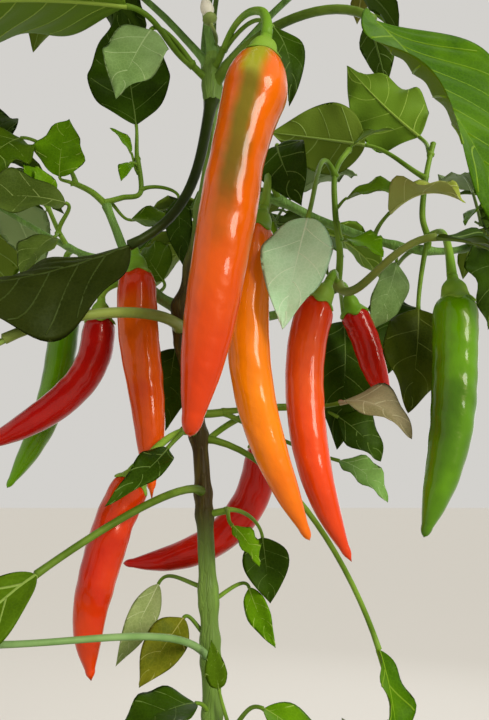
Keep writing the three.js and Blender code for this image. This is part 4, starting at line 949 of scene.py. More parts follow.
def blade_relief(random, shape):
    """The relief drawn for one blade, at its size."""
    relief = drawn(RELIEF_RANGES, random)
    relief["veins"] = max(4, round(shape["length"] / relief["veins"]))
    relief["bulge"] *= shape["length"]
    relief["wave"] *= shape["width"]
    relief["twist"] = math.radians(relief["twist"])
    return relief


def blade_surface(shape, relief, t, s):
    """Places on the blade's middle surface and its normals, t along the midrib, s across it."""
    place, across, normal = blade_frames(shape, t)
    size = np.abs(s)
    half = leaf_outline(t) * shape["width"] * 0.5
    turn = relief["twist"] * (t - 0.4)
    phase = (t - relief["sweep"] * size**1.2) * relief["veins"] + np.where(s < 0, 0.5, 0) + relief["offset"]
    pucker = relief["bulge"] * (0.5 - 0.5 * np.cos(TAU * phase)) * size**0.5 * (1 - size**2.4)
    edge = np.where(s < 0, relief["left"], relief["right"])
    wave = relief["wave"] * size**2.2 * np.sin(TAU * relief["waves"] * t + edge)
    fade = np.sqrt(np.clip(np.sin(np.pi * t), 0, 1))
    lift = half * math.sin(shape["fold"]) * size**1.5 + (pucker + wave) * fade + half * s * np.sin(turn)
    aside = half * s * math.cos(shape["fold"]) * np.cos(turn)
    return place + across * aside[:, None] + normal * lift[:, None], normal


def blade_form(shape, relief, spacing, looks):
    """The blade as a thin closed form with one look above and one below."""
    rows = max(math.ceil(shape["length"] / spacing), 7)
    columns = max(math.ceil(shape["width"] / 2 / spacing), 3)
    t = np.arange(1, rows) / rows
    t = t - 0.35 * np.sin(TAU * t) / TAU
    s = np.arange(-columns, columns + 1) / columns
    ring_s = np.concatenate([s, s[-2:0:-1]])
    way = np.concatenate([np.ones(len(s)), -np.ones(len(s) - 2)])
    tt, ss = np.meshgrid(t, ring_s, indexing="ij")
    places, normals = blade_surface(shape, relief, tt.ravel(), ss.ravel())
    side = np.tile(way, len(t)) * (1 - np.abs(ss.ravel())**4)
    places = places + normals * (side * BLADE_THICK / 2)[:, None]
    ends = arc_at(shape["curve"], [0, 1])
    return loft(places.reshape(len(t), len(ring_s), 3), ends[0], ends[1], np.repeat(looks, 2 * columns))


def vein_forms(shape, relief, radius, look, fine):
    """The midrib and, on all but the small leaves, side veins that stand out a little on both sides."""
    t = np.linspace(0, 0.97, 9 if fine else 20)
    path, normal = blade_surface(shape, relief, t, np.zeros(len(t)))
    girth = radius * (1 - t)**0.8 * 0.85 + 0.16
    forms = [tube(path - normal * (girth * 0.45)[:, None], girth, 4 if fine else 7, look)]
    if fine:
        return forms
    side_radius = radius * 0.54
    for s_way in (-1, 1):
        for k in range(-1, relief["veins"] + 1):
            foot = (k - relief["offset"] - (0.5 if s_way < 0 else 0)) / relief["veins"]
            if foot < 0.03 or foot > 0.86:
                continue
            size = np.linspace(0.02, 0.92, 8)
            t = foot + relief["sweep"] * size**1.2
            keep = t < 0.975
            if keep.sum() < 4:
                continue
            path, normal = blade_surface(shape, relief, t[keep], s_way * size[keep])
            forms.append(tube(path, side_radius * (1 - 0.3 * size[keep]), 4, look))
    return forms


def add_leaf(blades, stalks, leaf, random, look, stalk_look=0):
    """One leaf: blade and veins go to the blades with three looks from look on, its stalk to the stalks."""
    shape = blade_shape(leaf)
    shape["width"] *= leaf["slim"]
    relief = blade_relief(random, shape)
    fine = leaf["size"] == "fine"
    blades.add(blade_form(shape, relief, SPACING[leaf["size"]], (look, look + 1)))
    radius = PETIOLE_RADIUS * leaf["stalk"] * (0.72 if fine else 1)
    blades.add(*vein_forms(shape, relief, radius * 0.62, look + 2, fine))
    count = 7 if fine else 18
    t = np.linspace(0, 1, count + 1)
    girth = radius * (1 - 0.34 * t + 0.5 * np.exp(-t / 0.05) + 0.12 * np.exp(-(1 - t) / 0.06))
    stalks.add(tube(petiole_path(leaf, count), girth * leaf["stout"], 5 if fine else 9, stalk_look))


# Fruits


def fruit_radius(t, table):
    """A fruit's radius as a share of its widest, rounded off past the table's last row."""
    place, share = table[-1]
    end = share * np.sqrt(np.clip(1 - ((t - place) / (1 - place))**2, 0, 1))
    return np.where(t > place, end, smooth_table(table, np.clip(t, 0, place)))


def fruit_form(fruit, style, rings, sides, look=0):
    """A fruit's flesh on its arc, with the soft dents and ridges of the real one."""
    curve = fruit_arc(fruit)
    radius, seed = fruit["across"] / 2, style["seed"]
    u = np.linspace(0.012, 0.988, rings)
    t = u - 0.6 * np.sin(TAU * u) / TAU
    angle = around(sides)
    tt, aa = np.meshgrid(t, angle, indexing="ij")
    long = style["waves"] * ripple(aa, tt, seed, 6, (0, 2), (0.6, 2.6))
    short = style["dents"] * ripple(aa, tt, seed + 50, 8, (1, 4), (4, 11))
    shoulder = -0.05 * np.exp(-(tt / 0.05)**2) * (0.5 + 0.5 * np.cos(4 * aa + seed))
    relief = (long + short) * np.clip((1 - tt) / 0.1, 0, 1) + shoulder
    sway = np.stack([np.sin(5 * t + seed), np.cos(4 * t + seed), 0 * t], -1)
    path = arc_at(curve, t) + style["wander"] * np.sin(np.pi * t)[:, None] * sway
    along, side, up = frames_along(path)
    spoke = spokes(side, up, angle)
    for place, width, way, amount in style["bulges"]:
        facing = np.clip(spoke @ unit(np.array(way, float)), 0, 1)
        relief = relief + amount * np.exp(-((tt - place) / width)**2) * facing**1.5
    radii = radius * fruit_radius(tt, style["shape"]) * (1 + relief)
    tip = arc_at(curve, 1)[0] + along[-1] * style["tail"]
    return loft(path[:, None] + spoke * radii[..., None], path[0] - along[0] * radius * 0.1, tip, look)


def calyx_forms(fruit, style, sides):
    """The stalk and the ribbed cup with its blunt teeth that sits close on the fruit's shoulder."""
    radius, shape = fruit["across"] / 2, style["shape"]
    axis = arc_steps(fruit_arc(fruit), 50)
    long = np.linalg.norm(axis[-1] - axis[0])
    down = unit(axis[1] - axis[0])
    top = axis[0] - down * CALYX_LENGTH
    path = bend(np.array(fruit["at"], float), heading(*fruit["leave"]), top, down, 16)
    t = np.linspace(0, 1, 17)
    foot = 0.24 * radius
    thick = (1.4 + (foot - 1.4) * t**2.6 + 0.5 * np.exp(-t / 0.06))[:, None]
    stalk = tube(path, thick * (1 + 0.06 * np.cos(5 * around(10)))[None], 10)
    angle = around(sides)
    waves = np.cos(CALYX_TEETH * angle + style["seed"])
    rows = [(-8.0, foot), (-7.0, foot * 1.03), (-6.1, foot * 1.14), (-5.3, foot * 1.5)]
    rows += [(at, share * radius) for at, share in ((-4.4, 0.45), (-3.2, 0.53), (-1.8, 0.57), (-0.5, 0.59))]
    _, side, up = frames_along(np.array([top, axis[0], axis[1]]))
    spoke = spokes(side[:1], up[:1], angle)[0]
    ribs = 1 + 0.035 * waves
    rings = [axis[0] + down * along + spoke * (girth * ribs)[:, None] for along, girth in rows]
    edge = 2.4 + 1.9 * (0.5 + 0.5 * waves)
    for share, proud in ((0.4, 0.6), (0.7, 0.6), (1.0, 0.55), (1.08, 0.1)):
        hug = radius * fruit_radius(edge * share / long, shape) + proud
        rings.append(axis[0] + down * (edge * share)[:, None] + spoke * hug[:, None])
    inner = radius * fruit_radius(edge / long, shape) - 1
    rings.append(axis[0] + down * edge[:, None] * 0.9 + spoke * inner[:, None])
    return stalk, loft(rings, top - down * 0.3, axis[0] + down * 1.0)


# Blossom

blossom = Shape()


def petal_form(at, out, up):
    """One petal: a small cupped blade that leans out from the flower's middle."""
    long, wide = PETAL
    columns = 4
    s = np.concatenate([np.linspace(-1, 1, columns + 1), np.linspace(1, -1, columns + 1)[1:-1]])
    lower = np.concatenate([np.ones(columns + 1), -np.ones(columns - 1)])
    across = np.cross(out, up)
    rings = []
    for share in np.linspace(0.04, 0.97, 6):
        half = wide / 2 * math.sin(math.pi * min(share * 0.93 + 0.05, 1)**1.25) ** 0.8
        rise = long * (0.35 * share - 0.5 * share**2)
        centre = at + out * long * share + up * rise
        cup = (np.abs(s)**2 * half * 0.3 + lower * 0.14)[:, None]
        rings.append(centre + across * (s * half)[:, None] + up * cup)
    return loft(rings, at, at + out * long + up * (long * -0.15))


def bud_form(at, up, long, wide, look=0):
    t = np.linspace(0.03, 0.97, 9)
    girth = wide / 2 * np.sin(np.pi * t**0.8) ** 0.75
    return tube(at + up * (t * long)[:, None], girth, 10, look, blunt=0.6)


def add_flower(stalks, flower, random, stalk_look):
    """A nodding white flower, or a closed bud, on a thin stalk."""
    at, turn = np.array(flower["at"], float), flower["turn"]
    droop = heading(turn, -between((20, 65), random()))
    size = flower.get("size", 1)
    to = at + heading(turn, 5) * 11
    if "head" in flower:
        to, droop = np.array(flower["head"], float), heading(160, 76)
    path = bend(at, heading(turn, 40), to, droop, 8)
    stalks.add(tube(path, np.linspace(0.6, 0.85, 9), 7, stalk_look))
    head = path[-1]
    stalks.add(bud_form(head - droop * 0.6, droop, 3.6 * size, 4.2 * size, stalk_look))
    if flower["open"] < CLOSED_UNDER:
        long = between((4.5, 7.5), random()) * size
        blossom.add(bud_form(head + droop * 1.6 * size, droop, long, 3.8 * size))
        return
    side = unit(np.cross(droop, (0.3, 0.2, 1)))
    other = np.cross(droop, side)
    middle = head + droop * 2.2
    for k in range(5):
        angle = TAU * (k / 5) + turn
        out = side * math.cos(angle) + other * math.sin(angle)
        blossom.add(petal_form(middle + out * 0.8, unit(out * 0.9 + droop * 0.25), droop))
        anther = middle + out * 1.7 + droop * 1.2
        blossom.add(bud_form(anther, unit(droop + out * 0.35), 2.6, 1.0, 1))
    blossom.add(bud_form(middle, droop, 5.2, 0.8, 2))


# Stem and boughs


def relief_limb(path, girth, knots, seed, sides):
    """A limb with the bark's relief: soft ribs, fine furrows, and a swelling at each knot."""
    lengths = np.concatenate([[0], np.cumsum(np.linalg.norm(np.diff(path, axis=0), axis=1))])
    at = np.linspace(0, lengths[-1], max(12, math.ceil(lengths[-1] / BARK_STEP)) + 1)
    fine = np.stack([np.interp(at, lengths, path[:, k]) for k in range(3)], -1)
    radius = np.interp(at, lengths, girth)
    tt, aa = np.meshgrid(at / 40, around(sides), indexing="ij")
    ribs = 0.035 * np.cos(5 * aa + 0.25 * np.sin(tt * 2.1))
    furrows = 0.022 * ripple(aa, tt, seed, 9, (4, 13), (0.3, 2.0))
    lumps = 0.03 * ripple(aa, tt, seed + 9, 6, (1, 3), (0.4, 3.4))
    radii = radius[:, None] * (1 + ribs + furrows + lumps)
    for knot, swell, width in knots:
        apart = np.linalg.norm(fine - np.array(knot, float), axis=1)
        radii = radii + (swell * np.exp(-(apart / width)**2))[:, None] * (1 + 0.25 * np.cos(2 * aa + seed))
    return tube(fine, radii, sides)


def limb_girth(name, row, path):
    t = np.linspace(0, 1, len(path))
    if name != "main_stem":
        return row["foot"] + (row["tip"] - row["foot"]) * t**BOUGH_TAPER
    high = path[:, 2] - path[0, 2]
    flare = FLARE_EXTRA * np.clip(1 - high / FLARE_HEIGHT, 0, None)**2
    return row["foot"] + (row["tip"] - row["foot"]) * t**STEM_TAPER + flare


# Pot and soil


def pot_radius_at(z):
    return POT_BASE_RADIUS + (POT_TOP_RADIUS - RIM_STEP - POT_BASE_RADIUS) * (z / POT_HEIGHT)


def rounded(outline, steps=5):
    """An outline of (radius, height, corner radius) rows with each corner turned into a small arc."""
    out = []
    points = [np.array(row[:2], float) for row in outline]
    for i, (point, row) in enumerate(zip(points, outline)):
        if row[2] == 0 or i in (0, len(points) - 1):
            out.append(point)
            continue
        before, after = unit(points[i - 1] - point), unit(points[i + 1] - point)
        start, end = point + before * row[2], point + after * row[2]
        for k in range(steps + 1):
            t = k / steps
            out.append((1 - t)**2 * start + 2 * (1 - t) * t * point + t**2 * end)
    return np.array(out)


def divided(outline, step):
    out = [outline[0]]
    for a, b in zip(outline[:-1], outline[1:]):
        count = max(1, math.ceil(np.linalg.norm(b - a) / step))
        out += [a + (b - a) * (k / count) for k in range(1, count + 1)]
    return np.array(out)


def pot_form():
    """A hand-finished clay pot: faint turning rings, a rounded rim and a base that is not quite even."""
    under, mouth = POT_HEIGHT - RIM_HEIGHT, pot_radius_at(POT_HEIGHT) - POT_WALL
    outline = rounded([
        (4, 0, 0), (POT_BASE_RADIUS, 0, 2.4), (pot_radius_at(under), under, 1.2),
        (POT_TOP_RADIUS, under + 3, 2.2), (POT_TOP_RADIUS, POT_HEIGHT, 3.2), (mouth, POT_HEIGHT, 2.6),
        (POT_BASE_RADIUS - POT_WALL, 10, 4), (4, 10, 0),
    ])
    r, z = divided(outline, CLAY_STEP).T
    angle = around(POT_SIDES)
    outer = (r > pot_radius_at(z) - 2) & (z > 4) & (z < POT_HEIGHT - 4)
    turned = 0.16 * np.sin(z * 1.9) + 0.12 * np.sin(z * 0.83 + 1)
    rr = r[:, None] + (outer * turned)[:, None] - 0.25 * outer[:, None]
    rr = rr + (outer[:, None] * 0.16) * (np.sin(3 * angle + z[:, None] / 40) - 1)
    return loft(ring(rr, angle, z[:, None]), (0, 0, 0), (0, 0, 10))


def soil_height(x, y):
    """The soil's uneven surface: highest round the stem, slumped at the pot's wall."""
    r = np.hypot(x, y)
    dome = SOIL_LEVEL + SOIL_DOME * np.clip(1 - (np.clip(r - 24, 0, None) / 52)**2, 0, 1)
    slump = -4.5 * np.clip((r - 76) / 24, 0, 1)**2
    rough = 0
    random = seeded(SOIL_SEED)
    for k in range(26):
        wave, turn, phase = between((9, 46), random()), TAU * random(), TAU * random()
        way = x * math.cos(turn) + y * math.sin(turn)
        rough = rough + np.sin(way / wave * TAU + phase) * wave / 46 * 0.55
    return dome + slump + np.clip(rough * 0.6, -1.6, 0.4) * np.clip((r - 4) / 10, 0, 1) - 0.5


def soil_form():
    """The soil as one closed form: its surface, and the sides and floor inside the pot."""
    inside, low = pot_radius_at(SOIL_LEVEL) - POT_WALL - 0.4, POT_BASE_RADIUS - POT_WALL
    angle = around(SOIL_SIDES)
    rings = []
    for r in np.linspace(2, inside, 46):
        rings.append(ring(r, angle, soil_height(r * np.cos(angle), r * np.sin(angle))))
    for share in (0.5, 1):
        rings.append(ring(inside + (low - 2 - inside) * share, angle, 170 + (SOIL_FLOOR - 170) * share))
    return loft(rings, (0, 0, soil_height(np.zeros(1), np.zeros(1))[0]), (0, 0, SOIL_FLOOR))


def crumb_form(at, size, random):
    """A rough little lump: rings of corners with each radius drawn by itself."""
    rings = []
    tall = between((0.6, 0.9), random())
    for share in (0.18, 0.5, 0.82):
        girth = size * math.sin(math.pi * share)
        angle = around(6) + TAU * random()
        girths = girth * np.array([between((0.7, 1.25), random()) for k in range(6)])
        rings.append(at + ring(girths, angle, (share - 0.5) * 2 * size * tall))
    top = np.array([0, 0, size * tall])
    return loft(rings, at - top, at + top)


def crumbs(shape, count, sizes, seed, sunk):
    """Lumps strewn over the soil, clear of the stem."""
    random = seeded(seed)
    for k in range(count):
        r, turn = math.sqrt(random()) * CRUMBS_WITHIN, TAU * random()
        x, y = r * math.cos(turn), r * math.sin(turn)
        size = between(sizes, random()**2)
        if r < CLEAR_OF_STEM + size:
            continue
        z = soil_height(np.array([x]), np.array([y]))[0] + size * (0.5 - sunk)
        shape.add(crumb_form(np.array([x, y, z]), size, random))


# Materials


def colour(tone):
    """A colour from its 0 to 255 screen values."""
    linear = [c / 255 / 12.92 if c < 11 else ((c / 255 + 0.055) / 1.055)**2.4 for c in tone]
    return (*linear, 1)


def paler(tone, times, plus=0):
    return [min(255, c * times + plus) for c in tone]


class Look:
    """One material and short ways to add its nodes. Patterns lie in the plant's own metres, and tones
    are screen values: that of the base, and gloss for that of the specular tint. A tinted gloss is
    painted reflection: its tint stands in for warm, yellowish surroundings reflected."""

    def __init__(self, name, tone, roughness, gloss=None, **plain):
        self.material = bpy.data.materials.new(name)
        self.material.use_nodes = True
        self.tree = self.material.node_tree
        self.shader = self.tree.nodes["Principled BSDF"]
        self.shader.inputs["Base Color"].default_value = colour(tone)
        self.shader.inputs["Roughness"].default_value = roughness
        if gloss:
            self.shader.inputs["Specular Tint"].default_value = colour(gloss)
        for key, value in plain.items():
            self.shader.inputs[key.replace("_", " ")].default_value = value
        self.coords = self.tree.nodes.new("ShaderNodeTexCoord").outputs["Object"]
        self.relief = None

    def node(self, kind, inputs=(), output=0, **settings):
        made = self.tree.nodes.new(kind)
        for key, value in settings.items():
            setattr(made, key, value)
        for key, value in dict(inputs).items():
            if isinstance(value, bpy.types.NodeSocket):
                self.tree.links.new(value, made.inputs[key])
            else:
                made.inputs[key].default_value = value
        return made.outputs[output]

    def place(self, stretch):
        """Where a pattern is looked up, stretched along the axes or not."""
        if stretch is None:
            return self.coords
        return self.node("ShaderNodeMapping", {"Vector": self.coords, "Scale": stretch})

    def noise(self, scale, detail=3, stretch=None, distortion=0):
        return self.node("ShaderNodeTexNoise", {
            "Vector": self.place(stretch), "Scale": scale, "Detail": detail, "Distortion": distortion})

    def cells(self, scale, stretch=None):
        return self.node("ShaderNodeTexVoronoi", {"Vector": self.place(stretch), "Scale": scale},
                         feature="DISTANCE_TO_EDGE")

    def axis(self, name):
        return self.node("ShaderNodeSeparateXYZ", {0: self.coords}, "XYZ".index(name))

    def math(self, operation, a, b=0.0, c=0.0):
        return self.node("ShaderNodeMath", {0: a, 1: b, 2: c}, operation=operation)

    def spread(self, value, low, high, to_low=0.0, to_high=1.0, smooth=True):
        return self.node("ShaderNodeMapRange", {
            "Value": value, "From Min": low, "From Max": high, "To Min": to_low, "To Max": to_high},
            interpolation_type="SMOOTHSTEP" if smooth else "LINEAR")

    def times(self, a, b):
        return self.math("MULTIPLY", a, b)

    def mix(self, share, a, b):
        """Two hues in shares; each is a socket or a tone of screen values."""
        a, b = (hue if isinstance(hue, bpy.types.NodeSocket) else colour(hue) for hue in (a, b))
        return self.node("ShaderNodeMix", {0: share, 6: a, 7: b}, 2, data_type="RGBA")

    def paint(self, socket):
        self.tree.links.new(socket, self.shader.inputs["Base Color"])

    def shine(self, socket):
        self.tree.links.new(socket, self.shader.inputs["Roughness"])

    def bump(self, height, deep, strength=1.0):
        """Adds relief deep metres high on top of what is there."""
        inputs = {"Height": height, "Distance": deep, "Strength": strength}
        if self.relief:
            inputs["Normal"] = self.relief
        self.relief = self.node("ShaderNodeBump", inputs)
        self.tree.links.new(self.relief, self.shader.inputs["Normal"])


def leaf_upper(name, light, dark, near):
    """A leaf's upper side: satin, with a faint net of veinlets; near leaves also vary in colour."""
    # The yellow-green specular tint is painted reflection: it stands in for yellowish surroundings
    # reflected in the sheen
    look = Look(name, light, 0.44, (214, 240, 180), IOR=1.26, Specular_IOR_Level=0.2)
    look.bump(look.cells(620), 0.00012, 0.4)
    look.bump(look.noise(170, 4), 0.0009, 0.5)
    if near:
        patches = look.spread(look.noise(44, 4, distortion=0.5), 0.34, 0.68)
        net = look.spread(look.cells(620), 0.0, 0.14, 0.13, 0.0)
        tone = look.mix(patches, dark, light)
        look.paint(look.mix(net, tone, paler(light, 1.25, 10)))
    return look.material


def leaf_lower(name, tone):
    # The yellow-green specular tint is painted reflection: it stands in for yellowish surroundings
    # reflected in the sheen
    look = Look(name, tone, 0.56, (220, 240, 190), IOR=1.24, Specular_IOR_Level=0.25)
    look.bump(look.cells(620), 0.0002, 0.5)
    return look.material


def leaf_vein(name, tone):
    # The yellow-green specular tint is painted reflection: it stands in for yellowish surroundings
    # reflected in the sheen
    look = Look(name, tone, 0.48, (220, 240, 190), IOR=1.28)
    look.bump(look.noise(900, 2), 0.0001, 0.6)
    return look.material


made_looks = {}


def leaf_looks(tone, place):
    """The three materials of a tone: upper side, underside and veins, made once each."""
    key = (tone, place)
    if key not in made_looks:
        light, dark, under, vein = TONES[tone]
        end = f"_{tone}_{place}"
        upper = leaf_upper("leaf" + end, light, dark, place == "near")
        made_looks[key] = [upper, leaf_lower("underside" + end, under), leaf_vein("vein" + end, vein)]
    return made_looks[key]


def fruit_skin(name, tone):
    """Waxy skin: a clear gloss over faint dents, pores and streaks; its warm specular tint is painted
    reflection, standing in for warm surroundings reflected.
    """
    look = Look(name, tone, 0.3, (255, 214, 180), IOR=1.25, Coat_Weight=0.9, Coat_IOR=1.3,
                Coat_Roughness=0.07)
    look.bump(look.noise(80, 2), 0.003, 0.5)
    look.bump(look.noise(240, 3), 0.0005, 0.6)
    look.bump(look.noise(1400, 2), 0.00005, 0.5)
    return look


def fruit_streaks(look, most):
    """Fine streaks along a fruit, up to a share of their hue."""
    return look.spread(look.noise(420, 3, stretch=(1, 1, 0.12)), 0.55, 0.8, 0, most)


def plain_fruit(name, base, other):
    """One hue that shifts a little over the fruit, with fine paler streaks along it."""
    look = fruit_skin(name, base)
    shift = look.spread(look.noise(28, 3, distortion=0.3), 0.34, 0.68)
    tone = look.mix(shift, base, other)
    look.paint(look.mix(fruit_streaks(look, 0.22), tone, paler(other, 1.12, 14)))
    return look.material


def graded_fruit(name, rows, z_low, z_high):
    """Hues that follow one another from the tip up to the cap, their borders blurred by noise."""
    look = fruit_skin(name, rows[0])
    drift = look.spread(look.noise(34, 3), 0.3, 0.7, -0.16, 0.16, False)
    high = look.math("ADD", look.spread(look.axis("Z"), z_low, z_high, 0, 1, False), drift)
    tone = rows[0]
    for k, row in enumerate(rows[1:]):
        place = (k + 0.5) / (len(rows) - 1)
        tone = look.mix(look.spread(high, place - 0.22, place + 0.22), tone, row)
    look.paint(look.mix(fruit_streaks(look, 0.18), tone, paler(rows[-1], 1.1, 14)))
    return look.material


def ripening_fruit():
    """The front fruit: red below, orange above, and an olive streak from its shoulder down its left."""
    look = fruit_skin("skin_ripening", (210, 58, 10))
    z, x = look.axis("Z"), look.axis("X")
    drift = look.spread(look.noise(34, 3, distortion=0.3), 0.3, 0.7, -0.0014, 0.0014, False)
    high = look.math("ADD", z, look.times(drift, 6))
    over = look.math("SUBTRACT", look.math("MAXIMUM", z, 0.536), 0.566)
    middle = look.math("MULTIPLY_ADD", over, 0.22, 0.011)
    away = look.math("SUBTRACT", look.math("ADD", x, drift), middle)
    tone = look.mix(look.spread(high, 0.47, 0.54), (200, 54, 0), (214, 88, 0))
    orange = look.times(look.spread(away, 0.002, 0.011), look.spread(high, 0.5, 0.58))
    tone = look.mix(orange, tone, (236, 108, 4))
    narrow = look.spread(look.math("ABSOLUTE", away), 0.0014, 0.0076, 1, 0)
    streak = look.times(narrow, look.spread(high, 0.514, 0.545))
    front = look.spread(look.axis("Y"), -0.06, -0.048, 1, 0.25)
    streak = look.times(streak, front)
    olive = look.mix(look.spread(high, 0.53, 0.58), (98, 76, 2), (104, 100, 4))
    olive = look.mix(look.spread(high, 0.584, 0.602), olive, (150, 158, 42))
    look.paint(look.mix(look.times(streak, 0.95), tone, olive))
    return look.material


def fruit_look(key):
    if key not in made_looks:
        if key == "ripening":
            made_looks[key] = ripening_fruit()
        elif key in GRADED:
            made_looks[key] = graded_fruit("skin_" + key, *GRADED[key])
        else:
            made_looks[key] = plain_fruit("skin_" + key, *FRUIT_TONES[key])
    return made_looks[key]


def stalk_look(name, tone, other):
    # The yellow-green specular tint is painted reflection: it stands in for yellowish surroundings
    # reflected in the sheen
    look = Look(name, tone, 0.44, (225, 240, 190), IOR=1.32)
    shift = look.spread(look.noise(60, 3), 0.35, 0.68)
    look.paint(look.mix(shift, tone, other))
    look.bump(look.noise(700, 3), 0.00012, 0.6)
    return look.material


def plain_look(name, tone, rough, scale, deep):
    """One hue with a fine relief, for the crown's small joined things."""
    look = Look(name, tone, rough, Specular_IOR_Level=0.4)
    look.bump(look.noise(scale, 3), deep, 0.7)
    return look.material


def stem_look(name, low, high, z_low, z_high, shadow_band=None):
    """Green above, browner and rougher towards the foot, with corky streaks and dark lines, and an optional
    band of painted shadow, dark olive, where the fruits shade the stem.
    """
    look = Look(name, high, 0.55, Specular_IOR_Level=0.2)
    z = look.axis("Z")
    drift = look.spread(look.noise(70, 4), 0.3, 0.7, -0.05, 0.05, False)
    age = look.spread(look.math("ADD", z, drift), z_low, z_high, 1, 0)
    streaks = look.spread(look.noise(300, 4, stretch=(1, 1, 0.1)), 0.42, 0.66)
    green = look.mix(look.times(streaks, 0.5), high, paler(high, 1.3))
    # Painted shadow: a dark olive band between the two given heights, where the fruits shade the stem
    if shadow_band:
        above = look.spread(z, shadow_band[0], shadow_band[0] + 0.03)
        shade = look.times(above, look.spread(z, shadow_band[1], shadow_band[1] + 0.05, 1, 0))
        green = look.mix(shade, green, look.mix(streaks, (58, 48, 12), (84, 76, 26)))
    brown = look.mix(streaks, low, (150, 128, 92))
    look.paint(look.mix(age, green, brown))
    cracks = look.cells(520, stretch=(1, 1, 0.16))
    look.bump(look.spread(cracks, 0.0, 0.12), 0.0004, 0.5)
    look.bump(look.noise(420, 4, stretch=(1, 1, 0.2)), 0.0005, 0.6)
    look.shine(look.math("MULTIPLY_ADD", age, 0.3, 0.46))
    return look.material


def clay_look():
    """Fired clay with darker rings, pale lime bloom and fine grit."""
    look = Look("fired_clay", (176, 96, 62), 0.86, Specular_IOR_Level=0.25)
    patches = look.spread(look.noise(14, 5, distortion=0.3), 0.35, 0.7)
    body = look.mix(patches, (168, 88, 56), (190, 112, 76))
    rings = look.spread(look.noise(60, 3, stretch=(0.08, 0.08, 1.6)), 0.4, 0.7, 0, 0.35)
    body = look.mix(rings, body, (150, 78, 50))
    bloom = look.times(look.spread(look.noise(26, 6, distortion=0.8), 0.55, 0.74),
                      look.spread(look.axis("Z"), 0.03, 0.16, 0.75, 0.25))
    body = look.mix(bloom, body, (206, 178, 152))
    grit = look.spread(look.noise(1100, 2), 0.62, 0.74, 0, 0.5)
    look.paint(look.mix(grit, body, (120, 62, 42)))
    look.bump(look.noise(900, 4), 0.0003, 0.6)
    look.bump(look.noise(90, 4), 0.0012, 0.3)
    return look.material


def compost_look():
    look = Look("compost", (46, 33, 24), 0.95, Specular_IOR_Level=0.15)
    patches = look.spread(look.noise(180, 5), 0.36, 0.66)
    look.paint(look.mix(patches, (34, 24, 17), (74, 55, 40)))
    look.bump(look.noise(340, 6), 0.003, 0.9)
    return look.material


def grain_look():
    look = Look("white_grain", (214, 210, 200), 0.85, Specular_IOR_Level=0.2)
    look.bump(look.noise(1200, 4), 0.0004, 0.8)
    return look.material


# Pieces


def near_leaves(name, row, stalks, random):
    """The leaves of one spray in one piece that stands for its node."""
    tones = sorted({leaf["tone"] for leaf in row["leaves"]})
    blades = Shape()
    for leaf in row["leaves"]:
        stalk_tone = list(STALK_TONES).index(leaf["stalk_tone"])
        add_leaf(blades, stalks, leaf, random, tones.index(leaf["tone"]) * 3, stalk_tone)
    materials = [look for tone in tones for look in leaf_looks(tone, "near")]
    short = name.replace("spray_", "").replace("leaf_", "single_")
    blades.made("blades_" + short, materials, "foliage", name)


def near_fruits(name, row, cups):
    short = name.replace("spray_", "").replace("fruit_", "")
    for k, fruit in enumerate(row["fruits"]):
        style = FRUIT_STYLES[fruit["skin"]]
        flesh = Shape()
        flesh.add(fruit_form(fruit, style, *NEAR_FLESH))
        cups.add(*calyx_forms(fruit, style, NEAR_CUP_SIDES))
        slot = "green_fruit" if "green" in fruit["skin"] else "red_fruit"
        nodes = [] if row["leaves"] else [name]
        flesh.made(f"flesh_{short}_{k}", [fruit_look(fruit["skin"])], slot, *nodes)


def near_twig(twig):
    """A twig that swells where it leaves its limb and where its stalks leave it."""
    t = np.linspace(0, 1, 41)
    swell = 0.35 * np.exp(-t / 0.06) + 0.3 * np.exp(-(1 - t) / 0.08)
    girth = twig["foot"] + (twig["tip"] - twig["foot"]) * t + swell
    ribs = 1 + 0.05 * np.cos(4 * around(12))
    return tube(through_points(twig["through"], 40), girth[:, None] * ribs[None], 12)


def build_near():
    stalks, cups, random = Shape(), Shape(), seeded(NEAR_SEED)
    for name, row in SPRAYS.items():
        stalks.add(*(near_twig(twig) for twig in row["twigs"]))
        if row["leaves"]:
            near_leaves(name, row, stalks, random)
        near_fruits(name, row, cups)
    add_flower(stalks, NEAR_BUD, random, list(STALK_TONES).index("young"))
    stalk_looks = [stalk_look("stalk_" + key, *pair) for key, pair in STALK_TONES.items()]
    stalks.made("stalks_near", stalk_looks, "foliage")
    cups.made("calyxes_near", [stalk_look("calyx_green", (104, 148, 34), (132, 166, 58))], "foliage")


def crown_leaves(mass, number, random, twigs):
    """A mass's leaves and their materials, in a few of the crown's tones."""
    turned = (CROWN_TONES[(number + k) % len(CROWN_TONES)] for k in range(TONES_OF_A_MASS))
    tones = list(dict.fromkeys(turned))
    materials = [look for tone in tones for look in leaf_looks(tone, "crown")]
    blades = Shape()
    for leaf in mass["leaves"]:
        add_leaf(blades, twigs, leaf, random, int(random() * len(tones)) * 3)
    return blades, materials


